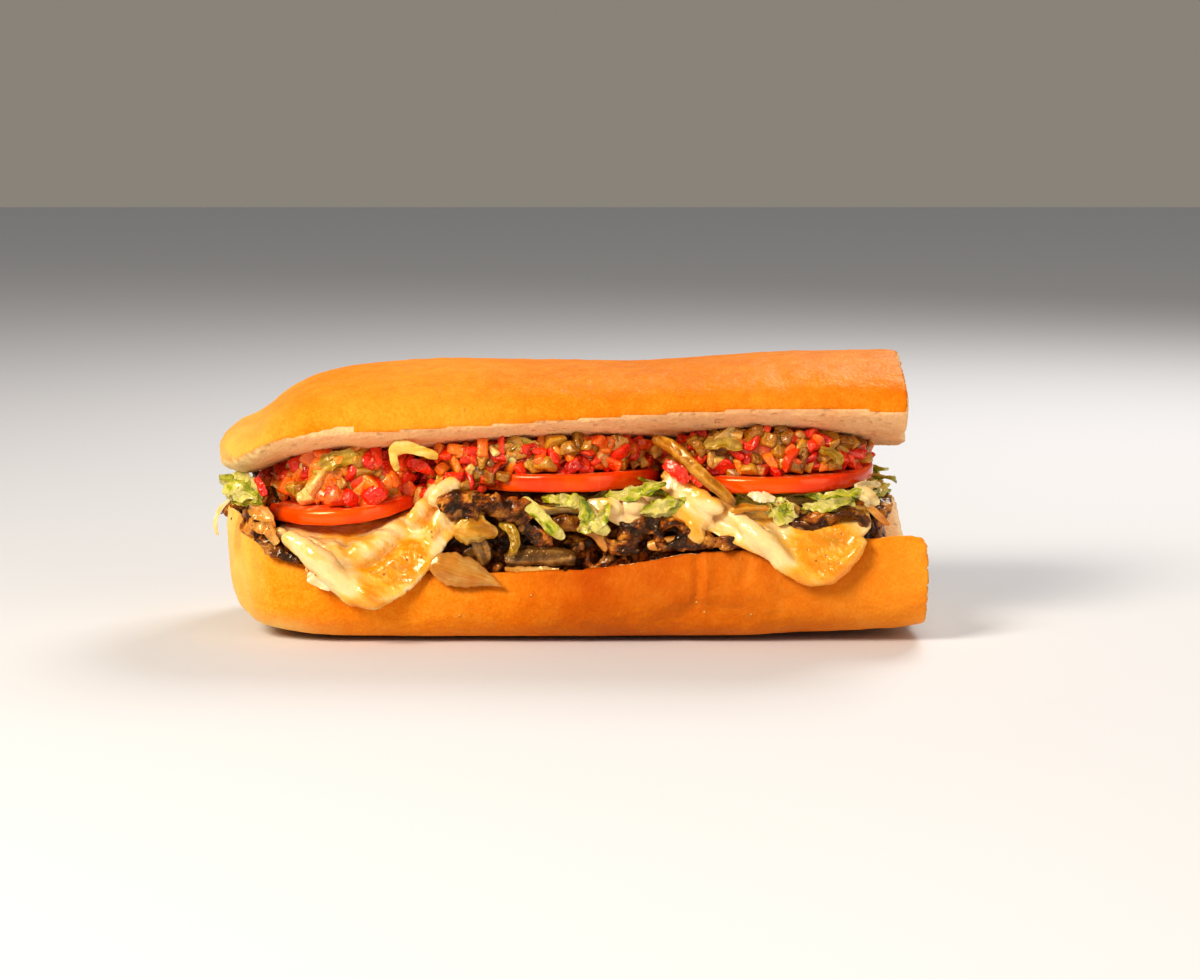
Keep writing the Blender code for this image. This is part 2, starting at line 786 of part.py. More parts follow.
def lettuce_shreds():
    """Larger shreds of lettuce that hang out of the open side."""
    sweep(
        "lettuce_shred_slanting",
        (
            (-0.0142, -0.0366, 0.0408),
            (-0.0105, -0.0388, 0.0378),
            (-0.0062, -0.0394, 0.0334),
            (-0.0025, -0.0386, 0.0300),
        ),
        0.0036,
        0.0016,
        "lettuce",
    )
    sweep(
        "lettuce_shred_middle",
        (
            (0.0020, -0.0378, 0.0398),
            (0.0042, -0.0394, 0.0376),
            (0.0062, -0.0404, 0.0345),
            (0.0100, -0.0404, 0.0318),
        ),
        0.0046,
        0.0012,
        "lettuce",
        cup=0.0006,
    )
    sweep(
        "lettuce_leaf_centre",
        (
            (0.0205, -0.0368, 0.0362),
            (0.0250, -0.0386, 0.0376),
            (0.0295, -0.0388, 0.0390),
            (0.0330, -0.0372, 0.0402),
        ),
        0.0048,
        0.0010,
        "lettuce",
        cup=0.0006,
    )
    sweep(
        "lettuce_leaf_right",
        (
            (0.0655, -0.0375, 0.0380),
            (0.0700, -0.0385, 0.0385),
            (0.0750, -0.0380, 0.0392),
            (0.0790, -0.0368, 0.0398),
        ),
        0.0044,
        0.0010,
        "lettuce",
        cup=0.0006,
    )
    sweep(
        "lettuce_leaf_end",
        (
            (-0.0995, -0.0140, 0.0418),
            (-0.0965, -0.0190, 0.0424),
            (-0.0925, -0.0235, 0.0416),
            (-0.0885, -0.0270, 0.0405),
        ),
        0.0054,
        0.0010,
        "lettuce",
        cup=0.0008,
    )


def back_slices():
    """The same kinds of pieces in the gap at the back."""
    mushroom_slice("mushroom_slice_back", (-0.0250, 0.0368, 0.0385), 0.0120, 0.0034, math.radians(150))
    sweep(
        "onion_petal_back",
        ((0.0080, 0.0362, 0.0372), (0.0180, 0.0375, 0.0385), (0.0280, 0.0362, 0.0372)),
        0.0064,
        0.0016,
        "onion",
        up=(0.0, 1.0, 0.2),
    )
    sweep(
        "pepper_strip_back",
        ((0.0480, 0.0366, 0.0368), (0.0560, 0.0378, 0.0400), (0.0660, 0.0366, 0.0372)),
        0.0036,
        0.0018,
        "pepper",
        up=(0.0, 1.0, 0.0),
    )


def centre_on_origin():
    """Moves every mesh so that the whole stands on z = 0 with its box centred on the z axis."""
    bpy.context.view_layer.update()
    made = list(bpy.context.scene.collection.objects)
    shown = [o for o in made if not o.hide_render]
    corners = np.array([tuple(v.co) for o in shown for v in o.data.vertices])
    low, high = corners.min(axis=0), corners.max(axis=0)
    shift = Matrix.Translation((-(low[0] + high[0]) / 2, -(low[1] + high[1]) / 2, -low[2]))
    for each in made:
        each.data.transform(shift)


def main():
    for old in list(bpy.data.objects):
        bpy.data.objects.remove(old)
    lower_roll()
    upper_roll()
    steak_heap()
    melted_cheese()
    lettuce_bed()
    for tomato in TOMATOES:
        tomato_slice(tomato)
    pepper_relish()
    onion_slices()
    mushroom_slices()
    pepper_strips()
    lettuce_shreds()
    back_slices()
    centre_on_origin()


main()
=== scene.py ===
"""Looks of a cut length of a hot submarine sandwich: soft roll, steak, cheese, tomato and pepper relish."""

import itertools
import json
import logging
import math
from collections.abc import Callable
from dataclasses import dataclass
from enum import Enum

import bpy
import numpy as np
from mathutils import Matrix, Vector
from mathutils.bvhtree import BVHTree
from mathutils.kdtree import KDTree

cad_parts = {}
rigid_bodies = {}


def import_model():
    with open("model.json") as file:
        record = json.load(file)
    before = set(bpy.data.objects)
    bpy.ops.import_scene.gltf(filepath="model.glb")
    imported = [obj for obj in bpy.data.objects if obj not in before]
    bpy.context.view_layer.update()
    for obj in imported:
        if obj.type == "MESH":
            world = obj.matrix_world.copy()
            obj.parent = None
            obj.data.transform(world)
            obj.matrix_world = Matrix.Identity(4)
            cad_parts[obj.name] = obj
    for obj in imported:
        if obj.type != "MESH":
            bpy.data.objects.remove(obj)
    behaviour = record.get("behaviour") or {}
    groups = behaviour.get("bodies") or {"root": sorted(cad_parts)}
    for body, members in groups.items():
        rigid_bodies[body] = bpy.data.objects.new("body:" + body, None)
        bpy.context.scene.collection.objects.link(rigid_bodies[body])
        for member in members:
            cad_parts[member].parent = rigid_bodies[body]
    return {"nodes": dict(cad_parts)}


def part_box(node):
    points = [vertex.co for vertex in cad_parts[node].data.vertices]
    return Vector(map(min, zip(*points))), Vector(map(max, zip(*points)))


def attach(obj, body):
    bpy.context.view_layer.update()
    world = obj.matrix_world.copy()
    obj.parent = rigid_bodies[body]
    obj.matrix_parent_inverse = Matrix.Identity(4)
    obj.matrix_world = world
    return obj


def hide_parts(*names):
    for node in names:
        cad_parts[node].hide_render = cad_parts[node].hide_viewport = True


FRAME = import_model()
LOG = logging.getLogger("sandwich")
MM = 0.001
Colour = tuple[float, float, float]


def tone(red: int, green: int, blue: int) -> Colour:
    """A colour given in display values from 0 to 255, as linear light."""
    return tuple(((v / 255 + 0.055) / 1.055) ** 2.4 if v > 10 else v / 255 / 12.92 for v in (red, green, blue))


def ease(values: np.ndarray, low: float, high: float) -> np.ndarray:
    """0 below low, 1 above high, and a smooth rise between them."""
    t = np.clip((values - low) / (high - low), 0.0, 1.0)
    return t * t * (3 - 2 * t)


class Grain:
    """A smooth random field in space that is the same on every run."""

    def __init__(self, seed: int) -> None:
        """Shuffles the field's corner slopes.

        Args:
            seed: Number that picks the field.
        """
        rng = np.random.default_rng(seed)
        self.order = rng.permutation(256)
        slopes = rng.normal(size=(256, 3))
        self.slopes = slopes / np.linalg.norm(slopes, axis=1)[:, None]

    def at(self, points: np.ndarray, size: float) -> np.ndarray:
        """The field at the points.

        Args:
            points: Places, one row each.
            size: Width of one wave, in metres.

        Returns:
            One value for each place, from about -1 to 1.
        """
        scaled = points / size
        cell = np.floor(scaled).astype(int)
        part = scaled - cell
        fade = part**3 * (part * (part * 6 - 15) + 10)
        total = np.zeros(len(points))
        for corner in itertools.product((0, 1), repeat=3):
            at = (cell + corner) & 255
            index = self.order[(self.order[(self.order[at[:, 0]] + at[:, 1]) & 255] + at[:, 2]) & 255]
            weight = np.prod(np.where(corner, fade, 1 - fade), axis=1)
            total += weight * np.einsum("ij,ij->i", self.slopes[index], part - corner)
        return total * 1.7

    def layered(self, points: np.ndarray, size: float, layers: int = 3) -> np.ndarray:
        """The field with finer and weaker copies of itself added."""
        return sum(self.at(points + 7.3 * i, size / 2**i) / 1.7**i for i in range(layers))


class Bench:
    """Blender's own tools, used as by hand."""

    @staticmethod
    def clear() -> None:
        """Deselects everything."""
        for other in bpy.context.view_layer.objects:
            other.select_set(False)

    @staticmethod
    def only(made: bpy.types.Object) -> None:
        """Selects one object and nothing else."""
        Bench.clear()
        made.select_set(True)
        bpy.context.view_layer.objects.active = made

    @staticmethod
    def finish(made: bpy.types.Object, kind: str, **settings: object) -> None:
        """Adds a modifier with these settings and applies it."""
        Bench.only(made)
        modifier = made.modifiers.new(kind.lower(), kind)
        for key, value in settings.items():
            setattr(modifier, key, value)
        bpy.ops.object.modifier_apply(modifier=modifier.name)

    @staticmethod
    def primitive(name: str) -> bpy.types.Object:
        """Names the primitive that an operator has just added, and sets its place into its mesh."""
        made = bpy.context.view_layer.objects.active
        made.name = made.data.name = name
        Bench.only(made)
        bpy.ops.object.transform_apply(location=True, rotation=True, scale=True)
        return made

    @staticmethod
    def copy_of(node: str, name: str) -> bpy.types.Object:
        """A new object with a CAD node's shape, its loose triangles joined into one surface.

        Args:
            node: The CAD node to copy.
            name: The new piece's name.

        Returns:
            The new object.
        """
        mesh = FRAME["nodes"][node].data.copy()
        made = bpy.data.objects.new(name, mesh)
        mesh.name = name
        mesh.materials.clear()
        bpy.context.scene.collection.objects.link(made)
        Bench.only(made)
        bpy.ops.object.mode_set(mode="EDIT")
        bpy.ops.mesh.select_all(action="SELECT")
        bpy.ops.mesh.remove_doubles(threshold=0.00001)
        bpy.ops.mesh.tris_convert_to_quads(face_threshold=math.radians(60), shape_threshold=math.radians(60))
        bpy.ops.object.mode_set(mode="OBJECT")
        if "custom_normal" in mesh.attributes:
            mesh.attributes.remove(mesh.attributes["custom_normal"])
        return made

    @staticmethod
    def points(made: bpy.types.Object) -> np.ndarray:
        """The places of all of a mesh's points."""
        flat = np.empty(len(made.data.vertices) * 3)
        made.data.vertices.foreach_get("co", flat)
        return flat.reshape(-1, 3)

    @staticmethod
    def normals(made: bpy.types.Object) -> np.ndarray:
        """The outward directions at all of a mesh's points."""
        flat = np.empty(len(made.data.vertices) * 3)
        made.data.vertices.foreach_get("normal", flat)
        return flat.reshape(-1, 3)

    @staticmethod
    def move(made: bpy.types.Object, points: np.ndarray) -> None:
        """Puts a mesh's points at new places."""
        made.data.vertices.foreach_set("co", points.ravel())
        made.data.update()

    @staticmethod
    def paint(made: bpy.types.Object, name: str, values: np.ndarray) -> None:
        """Stores one number for each point, for a finish to read."""
        mesh = made.data
        layer = mesh.attributes.get(name) or mesh.attributes.new(name, "FLOAT", "POINT")
        layer.data.foreach_set("value", np.asarray(values, dtype=np.float32))

    @staticmethod
    def dress(made: bpy.types.Object, material: bpy.types.Material, smooth: bool = True) -> None:
        """Gives a piece its finish."""
        made.data.materials.clear()
        made.data.materials.append(material)
        if smooth:
            made.data.shade_smooth()


@dataclass(frozen=True)
class Shape:
    """A small modelled form, one unit across, that is copied many times."""

    points: np.ndarray
    faces: tuple[tuple[int, ...], ...]

    @classmethod
    def taken_from(cls, made: bpy.types.Object) -> "Shape":
        """Reads a modelled object's form and removes the object."""
        shape = cls(Bench.points(made).copy(), tuple(tuple(face.vertices) for face in made.data.polygons))
        bpy.data.objects.remove(made)
        return shape


class Forms:
    """The forms that the small pieces are copied from."""

    @staticmethod
    def dice(seed: int) -> Shape:
        """A chopped cube with soft, uneven edges."""
        Bench.clear()
        bpy.ops.mesh.primitive_cube_add(size=1.0)
        made = Bench.primitive(f"dice_{seed}")
        bpy.ops.object.mode_set(mode="EDIT")
        bpy.ops.mesh.select_all(action="SELECT")
        bpy.ops.transform.vertex_random(offset=0.30, seed=seed)
        bpy.ops.mesh.bevel(offset=0.19, segments=2, affect="EDGES")
        bpy.ops.transform.vertex_random(offset=0.03, seed=seed + 9)
        bpy.ops.object.mode_set(mode="OBJECT")
        return Shape.taken_from(made)

    @staticmethod
    def sheet(along: int, across: int, thickness: float) -> Shape:
        """A flat piece with a grid over it, ready to be curled.

        Args:
            along: Faces along its length.
            across: Faces along its width.
            thickness: Its thickness, where its length and width are 1.

        Returns:
            The form, lying flat.
        """
        Bench.clear()
        bpy.ops.mesh.primitive_grid_add(x_subdivisions=along, y_subdivisions=across, size=1.0)
        made = Bench.primitive("sheet")
        Bench.finish(made, "SOLIDIFY", thickness=thickness, offset=0.0)
        return Shape.taken_from(made)

    @staticmethod
    def bead() -> Shape:
        """A small round drop or seed."""
        Bench.clear()
        bpy.ops.mesh.primitive_ico_sphere_add(subdivisions=2, radius=0.5)
        made = Bench.primitive("bead")
        bpy.ops.object.mode_set(mode="EDIT")
        bpy.ops.mesh.select_all(action="SELECT")
        bpy.ops.transform.vertex_random(offset=0.04, seed=4)
        bpy.ops.object.mode_set(mode="OBJECT")
        return Shape.taken_from(made)


class Skin:
    """The outside of a CAD node, as a place to lay things on."""

    def __init__(self, node: str) -> None:
        """Reads the node's triangles."""
        mesh = FRAME["nodes"][node].data
        mesh.calc_loop_triangles()
        points = np.empty(len(mesh.vertices) * 3)
        mesh.vertices.foreach_get("co", points)
        corners = np.empty(len(mesh.loop_triangles) * 3, dtype=np.int32)
        mesh.loop_triangles.foreach_get("vertices", corners)
        self.corners = points.reshape(-1, 3)[corners.reshape(-1, 3)]
        first, second = (self.corners[:, i] - self.corners[:, 0] for i in (1, 2))
        cross = np.cross(first, second)
        self.areas = np.linalg.norm(cross, axis=1) / 2
        self.normals = cross / (2 * self.areas[:, None] + 1e-15)

    def tree(self, *others: str) -> BVHTree:
        """The surface of this node and others together, for finding what is nearest."""
        corners = np.concatenate([self.corners, *(Skin(other).corners for other in others)]).reshape(-1, 3)
        return BVHTree.FromPolygons(corners.tolist(), np.arange(len(corners)).reshape(-1, 3).tolist())

    def spots(
        self,
        rng: np.random.Generator,
        spacing: float,
        keep: Callable[[np.ndarray, np.ndarray], bool],
    ) -> list[tuple[np.ndarray, np.ndarray]]:
        """Places spread over the surface at random, but never too close.

        Args:
            rng: Source of chance.
            spacing: Least distance between two places.
            keep: Says whether a place and its outward direction are wanted.

        Returns:
            Each place with its outward direction.
        """
        tries = int(self.areas.sum() / spacing**2 * 7)
        picked = rng.choice(len(self.areas), tries, p=self.areas / self.areas.sum())
        shares = rng.random((tries, 2))
        shares = np.where(shares.sum(axis=1, keepdims=True) > 1, 1 - shares, shares)
        taken: dict[tuple[int, ...], list[np.ndarray]] = {}
        found = []
        for face, (a, b) in zip(picked, shares):
            p, q, r = self.corners[face]
            point, normal = p + a * (q - p) + b * (r - p), self.normals[face]
            cell = tuple(np.floor(point / spacing).astype(int))
            around = (tuple(c + d for c, d in zip(cell, step)) for step in itertools.product((-1, 0, 1), repeat=3))
            near = [other for key in around for other in taken.get(key, ())]
            if any(np.sum((other - point) ** 2) < spacing**2 for other in near) or not keep(point, normal):
                continue
            taken.setdefault(cell, []).append(point)
            found.append((point, normal))
        return found


def leaning(direction: np.ndarray, rng: np.random.Generator, lean: float, along: Vector | None = None) -> np.ndarray:
    """A turn whose third axis lies near a direction.

    Args:
        direction: Where the third axis points, roughly.
        rng: Source of chance.
        lean: How far it strays, where 1 is about 45 degrees.
        along: Where the first axis points, roughly, or None for anywhere.

    Returns:
        The turn as a 3 by 3 matrix with the axes as its columns.
    """
    third = direction + rng.normal(size=3) * lean * 0.6
    third /= np.linalg.norm(third)
    guide = rng.normal(size=3) if along is None else np.array(along) + rng.normal(size=3) * 0.35
    first = guide - third * (guide @ third)
    first /= np.linalg.norm(first)
    return np.stack([first, np.cross(third, first), third], axis=1)


@dataclass(frozen=True)
class Ribbon:
    """A strip laid along a line of points, all in millimetres."""

    path: tuple[Colour, ...]
    width: float
    thickness: float = 1.4
    cup: float = 0.0
    frill: float = 0.0
    ragged: float = 0.0
    lean: float = 0.0
    point: float = 0.5
    torn: float = 0.15

    def line(self, shares: np.ndarray) -> np.ndarray:
        """Places along the smooth line through the points, at shares from 0 to 1 of its length."""
        knots = np.array(self.path)
        padded = np.concatenate([2 * knots[:1] - knots[1:2], knots, 2 * knots[-1:] - knots[-2:-1]])
        at = np.clip(shares, 0, 1) * (len(knots) - 1)
        first = np.minimum(at.astype(int), len(knots) - 2)
        t = (at - first)[:, None]
        a, b, c, d = (padded[first + i] for i in range(4))
        return 0.5 * (2 * b + (c - a) * t + (2 * a - 5 * b + 4 * c - d) * t**2 + (3 * b - a - 3 * c + d) * t**3)

    def wrapped(self, unit: np.ndarray, grain: Grain, shift: float) -> np.ndarray:
        """A flat form laid along the line.

        Args:
            unit: The form's points, one unit long, wide and thick.
            grain: Field that ruffles it.
            shift: Place in the field.

        Returns:
            The points in place, in metres.
        """
        share = unit[:, 0] + 0.5
        middle = self.line(share)
        tangent = self.line(share + 0.02) - self.line(share - 0.02)
        tangent /= np.linalg.norm(tangent, axis=1)[:, None] + 1e-9
        lean = math.radians(self.lean)
        out = np.array([0.0, -math.cos(lean), math.sin(lean)])
        normal = out - tangent * (tangent @ out)[:, None]
        normal /= np.linalg.norm(normal, axis=1)[:, None] + 1e-9
        side = np.cross(tangent, normal)
        narrow = 1 - np.abs(2 * unit[:, 0]) ** 2.5 * self.point
        outline = np.stack([share * 5 + shift, np.sign(unit[:, 1]) * 2, 0 * share], axis=1)
        narrow *= 1 + self.torn * (grain.at(outline, 1.0) + 0.7 * grain.at(outline, 0.35))
        across = (unit[:, 1] * narrow)[:, None]
        wave = grain.at(np.stack([share * 5 + shift, unit[:, 1] * 0.8, 0 * share], axis=1), 1.0)
        edge = np.abs(2 * unit[:, 1])
        lift = unit[:, 2:3] * self.thickness + ((self.cup * self.width * edge**2) + self.frill * wave * edge)[:, None]
        placed = middle + side * across * self.width + normal * lift
        pull = [grain.at(placed + shift + 9 * axis, 3.2) + 0.45 * grain.at(placed + shift + 9 * axis, 1.3) for axis in range(3)]
        return (placed + self.ragged * np.stack(pull, axis=1)) * MM


class Medley:
    """Many small copies of a few forms, joined into one piece."""

    def __init__(self, name: str, seed: int) -> None:
        """Starts an empty piece.

        Args:
            name: The piece's name.
            seed: Number that picks how its copies differ.
        """
        self.name, self.total = name, 0
        self.rng = np.random.default_rng(seed)
        self.grain = Grain(seed)
        self.points: list[np.ndarray] = []
        self.own: list[np.ndarray] = []
        self.tints: list[np.ndarray] = []
        self.edges: list[np.ndarray] = []
        self.faces: list[tuple[int, ...]] = []

    def add(
        self,
        shape: Shape,
        place: np.ndarray,
        turn: np.ndarray,
        size: tuple[float, float, float],
        warp: Callable[[np.ndarray], np.ndarray] | None = None,
        ragged: float = 0.0,
        ragged_size: float = 4 * MM,
    ) -> None:
        """Adds one copy.

        Args:
            shape: The form to copy.
            place: Where its middle goes.
            turn: How it is turned.
            size: Its length, width and thickness.
            warp: Bends the copy, given its points in metres.
            ragged: How far its points are pulled about.
            ragged_size: Width of each such pull.
        """
        local = shape.points * np.array(size)
        own = local + self.rng.random(3)
        if warp:
            local = warp(local)
        if ragged:
            pull = [self.grain.at(own + 3 * axis, ragged_size) for axis in range(3)]
            local = local + ragged * np.stack(pull, axis=1)
        self.keep(shape, local @ turn.T + place, own)

    def lay(self, shape: Shape, ribbon: Ribbon) -> None:
        """Adds a flat form laid along a ribbon's line."""
        shift = self.rng.random() * 50
        spread = np.linalg.norm(np.diff(np.array(ribbon.path), axis=0), axis=1).sum()
        own = shape.points * np.array([spread, ribbon.width, ribbon.thickness]) * MM + shift
        self.keep(shape, ribbon.wrapped(shape.points, self.grain, shift), own)

    def keep(self, shape: Shape, points: np.ndarray, own: np.ndarray) -> None:
        """Stores one placed copy with what its finish reads."""
        self.points.append(points)
        self.own.append(own)
        self.tints.append(np.full(len(points), self.rng.random()))
        self.edges.append(np.clip(0.5 + self.rng.choice((-1, 1)) * shape.points[:, 1], 0, 1))
        self.faces += [tuple(v + self.total for v in face) for face in shape.faces]
        self.total += len(points)

    def join(self, smooth: float | None = None) -> bpy.types.Object:
        """Makes the piece.

        Args:
            smooth: Angle above which edges stay crisp, or None for soft edges all over.

        Returns:
            The piece as one object.
        """
        mesh = bpy.data.meshes.new(self.name)
        mesh.from_pydata(np.concatenate(self.points), [], self.faces)
        made = bpy.data.objects.new(self.name, mesh)
        bpy.context.scene.collection.objects.link(made)
        own = mesh.attributes.new("own", "FLOAT_VECTOR", "POINT")
        own.data.foreach_set("vector", np.concatenate(self.own).ravel())
        Bench.paint(made, "tint", np.concatenate(self.tints))
        Bench.paint(made, "edge", np.concatenate(self.edges))
        mesh.shade_smooth()
        if smooth:
            Bench.only(made)
            bpy.ops.object.shade_smooth_by_angle(angle=smooth)
        return made


class Graph:
    """A material's nodes, wired a step at a time."""

    def __init__(self, name: str) -> None:
        """Starts a material of this name."""
        self.material = bpy.data.materials.new(name)
        self.material.use_nodes = True
        self.tree = self.material.node_tree
        self.shader = self.tree.nodes["Principled BSDF"]
        self.place = self.tree.nodes.new("ShaderNodeTexCoord").outputs["Object"]
        self.own = self.node("ShaderNodeAttribute", attribute_name="own").outputs["Vector"]

    def node(self, kind: str, **settings: object) -> bpy.types.Node:
        """A new node of this kind with these properties."""
        made = self.tree.nodes.new(kind)
        for key, value in settings.items():
            setattr(made, key, value)
        return made

    def join(self, source: object, target: bpy.types.NodeSocket) -> None:
        """Links a socket to an input, or sets a plain value on it."""
        if isinstance(source, bpy.types.NodeSocket):
            self.tree.links.new(source, target)
        else:
            target.default_value = source

    def noise(
        self,
        size: float,
        detail: float = 3.0,
        stretch: Colour = (1.0, 1.0, 1.0),
        turn: Colour = (0.0, 0.0, 0.0),
        place: bpy.types.NodeSocket | None = None,
    ) -> bpy.types.NodeSocket:
        """A cloudy pattern.

        Args:
            size: Width of one cloud, in metres.
            detail: How many finer layers it has.
            stretch: How much it is drawn out along each axis.
            turn: How it is turned, in degrees.
            place: Where it is read, in space if left out.

        Returns:
            The pattern's value, from 0 to 1.
        """
        made = self.node("ShaderNodeTexNoise")
        made.inputs["Scale"].default_value = 1 / size
        made.inputs["Detail"].default_value = detail
        self.join(self.mapped(stretch, turn, place), made.inputs["Vector"])
        return made.outputs["Fac"]

    def mapped(self, stretch: Colour, turn: Colour, place: bpy.types.NodeSocket | None) -> bpy.types.NodeSocket:
        """A place in space, turned and then drawn out along each axis."""
        turned = self.node("ShaderNodeMapping")
        turned.inputs["Rotation"].default_value = [math.radians(t) for t in turn]
        self.join(place or self.place, turned.inputs["Vector"])
        made = self.node("ShaderNodeMapping")
        made.inputs["Scale"].default_value = [1 / s for s in stretch]
        self.join(turned.outputs["Vector"], made.inputs["Vector"])
        return made.outputs["Vector"]

    def cells(self, size: float, feature: str = "F1", place: bpy.types.NodeSocket | None = None) -> bpy.types.NodeSocket:
        """The distance to the nearest of many scattered seeds."""
        made = self.node("ShaderNodeTexVoronoi", feature=feature)
        made.inputs["Scale"].default_value = 1 / size
        self.join(place or self.place, made.inputs["Vector"])
        return made.outputs["Distance"]

    def painted(self, name: str) -> bpy.types.NodeSocket:
        """The number stored on the piece under this name."""
        made = self.node("ShaderNodeAttribute", attribute_name=name)
        return made.outputs["Fac"]

    def span(self, value: object, low: float, high: float, to_low: float = 0.0, to_high: float = 1.0) -> object:
        """The value spread from one range to another, with smooth ends."""
        made = self.node("ShaderNodeMapRange", interpolation_type="SMOOTHSTEP")
        self.join(value, made.inputs["Value"])
        for key, number in (("From Min", low), ("From Max", high), ("To Min", to_low), ("To Max", to_high)):
            made.inputs[key].default_value = number
        return made.outputs["Result"]

    def sums(self, operation: str, first: object, second: object) -> bpy.types.NodeSocket:
        """Arithmetic on two values."""
        made = self.node("ShaderNodeMath", operation=operation)
        self.join(first, made.inputs[0])
        self.join(second, made.inputs[1])
        return made.outputs[0]

    def blend(self, amount: object, first: object, second: object, way: str = "MIX") -> bpy.types.NodeSocket:
        """Two colours mixed by an amount."""
        made = self.node("ShaderNodeMix", data_type="RGBA", blend_type=way)
        self.join(amount, made.inputs[0])
        for source, socket in ((first, made.inputs[6]), (second, made.inputs[7])):
            self.join((*source, 1.0) if isinstance(source, tuple) else source, socket)
        return made.outputs[2]

    def ramp(self, value: object, stops: tuple[tuple[float, Colour], ...]) -> bpy.types.NodeSocket:
        """Colours laid along a value from 0 to 1."""
        made = self.node("ShaderNodeValToRGB")
        bar = made.color_ramp
        for _ in stops[2:]:
            bar.elements.new(0.5)
        for element, (at, colour) in zip(bar.elements, stops):
            element.position = at
            element.color = (*colour, 1.0)
        self.join(value, made.inputs["Fac"])
        return made.outputs["Color"]

    def relief(self, *layers: tuple[object, float]) -> None:
        """Fine relief on the surface.

        Args:
            layers: Each pattern with its depth in metres.
        """
        normal = None
        for height, depth in layers:
            made = self.node("ShaderNodeBump")
            made.inputs["Distance"].default_value = depth
            self.join(height, made.inputs["Height"])
            if normal:
                self.join(normal, made.inputs["Normal"])
            normal = made.outputs["Normal"]
        self.join(normal, self.shader.inputs["Normal"])

    def set(self, **values: object) -> None:
        """Sets or links the shader's inputs, each named with underscores for spaces."""
        for key, value in values.items():
            self.join(value, self.shader.inputs[key.replace("_", " ")])

    def glow_through(self, weight: float, reach: Colour, scale: float) -> None:
        """Lets light pass a little way below the surface."""
        self.shader.inputs["Subsurface Weight"].default_value = weight
        self.shader.inputs["Subsurface Radius"].default_value = reach
        self.shader.inputs["Subsurface Scale"].default_value = scale

    def wet(self, coat: float, roughness: float = 0.08) -> None:
        """Lays a film of juice or fat over the surface."""
        self.shader.inputs["Coat Weight"].default_value = coat
        self.shader.inputs["Coat Roughness"].default_value = roughness


@dataclass(frozen=True)
class BreadFinish:
    """Baked crust, with soft crumb where the roll is cut."""

    gold: Colour = tone(246, 152, 30)
    amber: Colour = tone(238, 132, 14)
    deep: Colour = tone(176, 70, 2)
    pale: Colour = tone(252, 204, 118)
    crumb: Colour = tone(254, 206, 154)
    warm: Colour = tone(244, 172, 114)
    lit_end_crumb: Colour = tone(255, 226, 188)
    pores: Colour = tone(226, 150, 98)
    soaked: Colour = tone(236, 216, 150)

    def material(self) -> bpy.types.Material:
        """The finish as a material."""
        graph = Graph("bread")
        mottle = graph.blend(0.5, graph.noise(0.022, 2.0), graph.noise(0.0046, 3.0))
        speck = graph.noise(0.0008, 3.0)
        mottle = graph.blend(0.42, mottle, speck)
        crust = graph.ramp(mottle, ((0.36, self.amber), (0.5, self.gold), (0.64, tone(252, 170, 60))))
        # Painted sheen: broad lighter patches stand in for a highlight on the crust.
        painted_sheen = graph.span(graph.noise(0.035, 2.0, stretch=(2.0, 1.0, 1.0)), 0.45, 0.70, 0.0, 0.30)
        crust = graph.blend(painted_sheen, crust, tone(252, 176, 72))
        # Browner crust: real browning, and on the lower half also painted shade across the middle of its front.
        browned_and_shaded = graph.sums("MULTIPLY", graph.painted("bake_and_shade"), graph.span(graph.noise(0.012), 0.2, 0.7, 0.75, 1.1))
        crust = graph.blend(browned_and_shaded, crust, self.deep)
        # Paler where the crust baked less, and at the left end also painted light on the lit end.
        crust = graph.blend(graph.painted("pale"), crust, self.pale)
        blister = graph.span(graph.cells(0.0062), 0.085, 0.035)
        picked = graph.span(graph.noise(0.009, 1.0), 0.52, 0.60)
        blister = graph.sums("MULTIPLY", blister, picked)
        crust = graph.blend(graph.sums("MULTIPLY", blister, 0.6), crust, self.pale)
        holes = graph.span(graph.cells(0.0026), 0.45, 0.05)
        holes = graph.sums("MULTIPLY", holes, graph.span(graph.noise(0.0040, 1.0), 0.46, 0.60))
        fine = graph.span(graph.noise(0.0009, 3.0), 0.56, 0.40)
        airy = graph.sums("MAXIMUM", holes, graph.sums("MULTIPLY", fine, 0.6))
        crumb = graph.blend(graph.span(graph.noise(0.012, 2.0), 0.35, 0.7, 0.0, 0.35), self.crumb, self.warm)
        # Painted light: the crumb of the cut end face is lightened, as if lit.
        crumb = graph.blend(graph.sums("MULTIPLY", graph.painted("end"), 0.85), crumb, self.lit_end_crumb)
        # Darker crumb in the pores and in fine mottling; in the pores this is painted shade.
        crumb = graph.blend(graph.sums("MULTIPLY", airy, 0.35), crumb, self.pores)
        crumb = graph.blend(graph.sums("MULTIPLY", graph.painted("soaked"), 0.6), crumb, self.soaked)
        cut = graph.span(graph.painted("crumb"), 0.42, 0.58)
        graph.set(Base_Color=graph.blend(cut, crust, crumb), Roughness=graph.span(cut, 0, 1, 0.48, 0.9))
        graph.shader.inputs["Specular IOR Level"].default_value = 0.22
        graph.shader.inputs["Specular Tint"].default_value = (1.0, 0.62, 0.25, 1.0)
        rough = graph.sums("MULTIPLY", graph.noise(0.0011, 3.0), graph.span(cut, 0, 1, 0.35, 0.25))
        open_crumb = graph.sums("MULTIPLY", holes, cut)
        graph.relief((graph.noise(0.0035, 3.0), 0.0004), (rough, 0.0008), (blister, 0.0004), (open_crumb, -0.0005))
        graph.glow_through(0.15, (1.0, 0.5, 0.18), 0.004)
        return graph.material


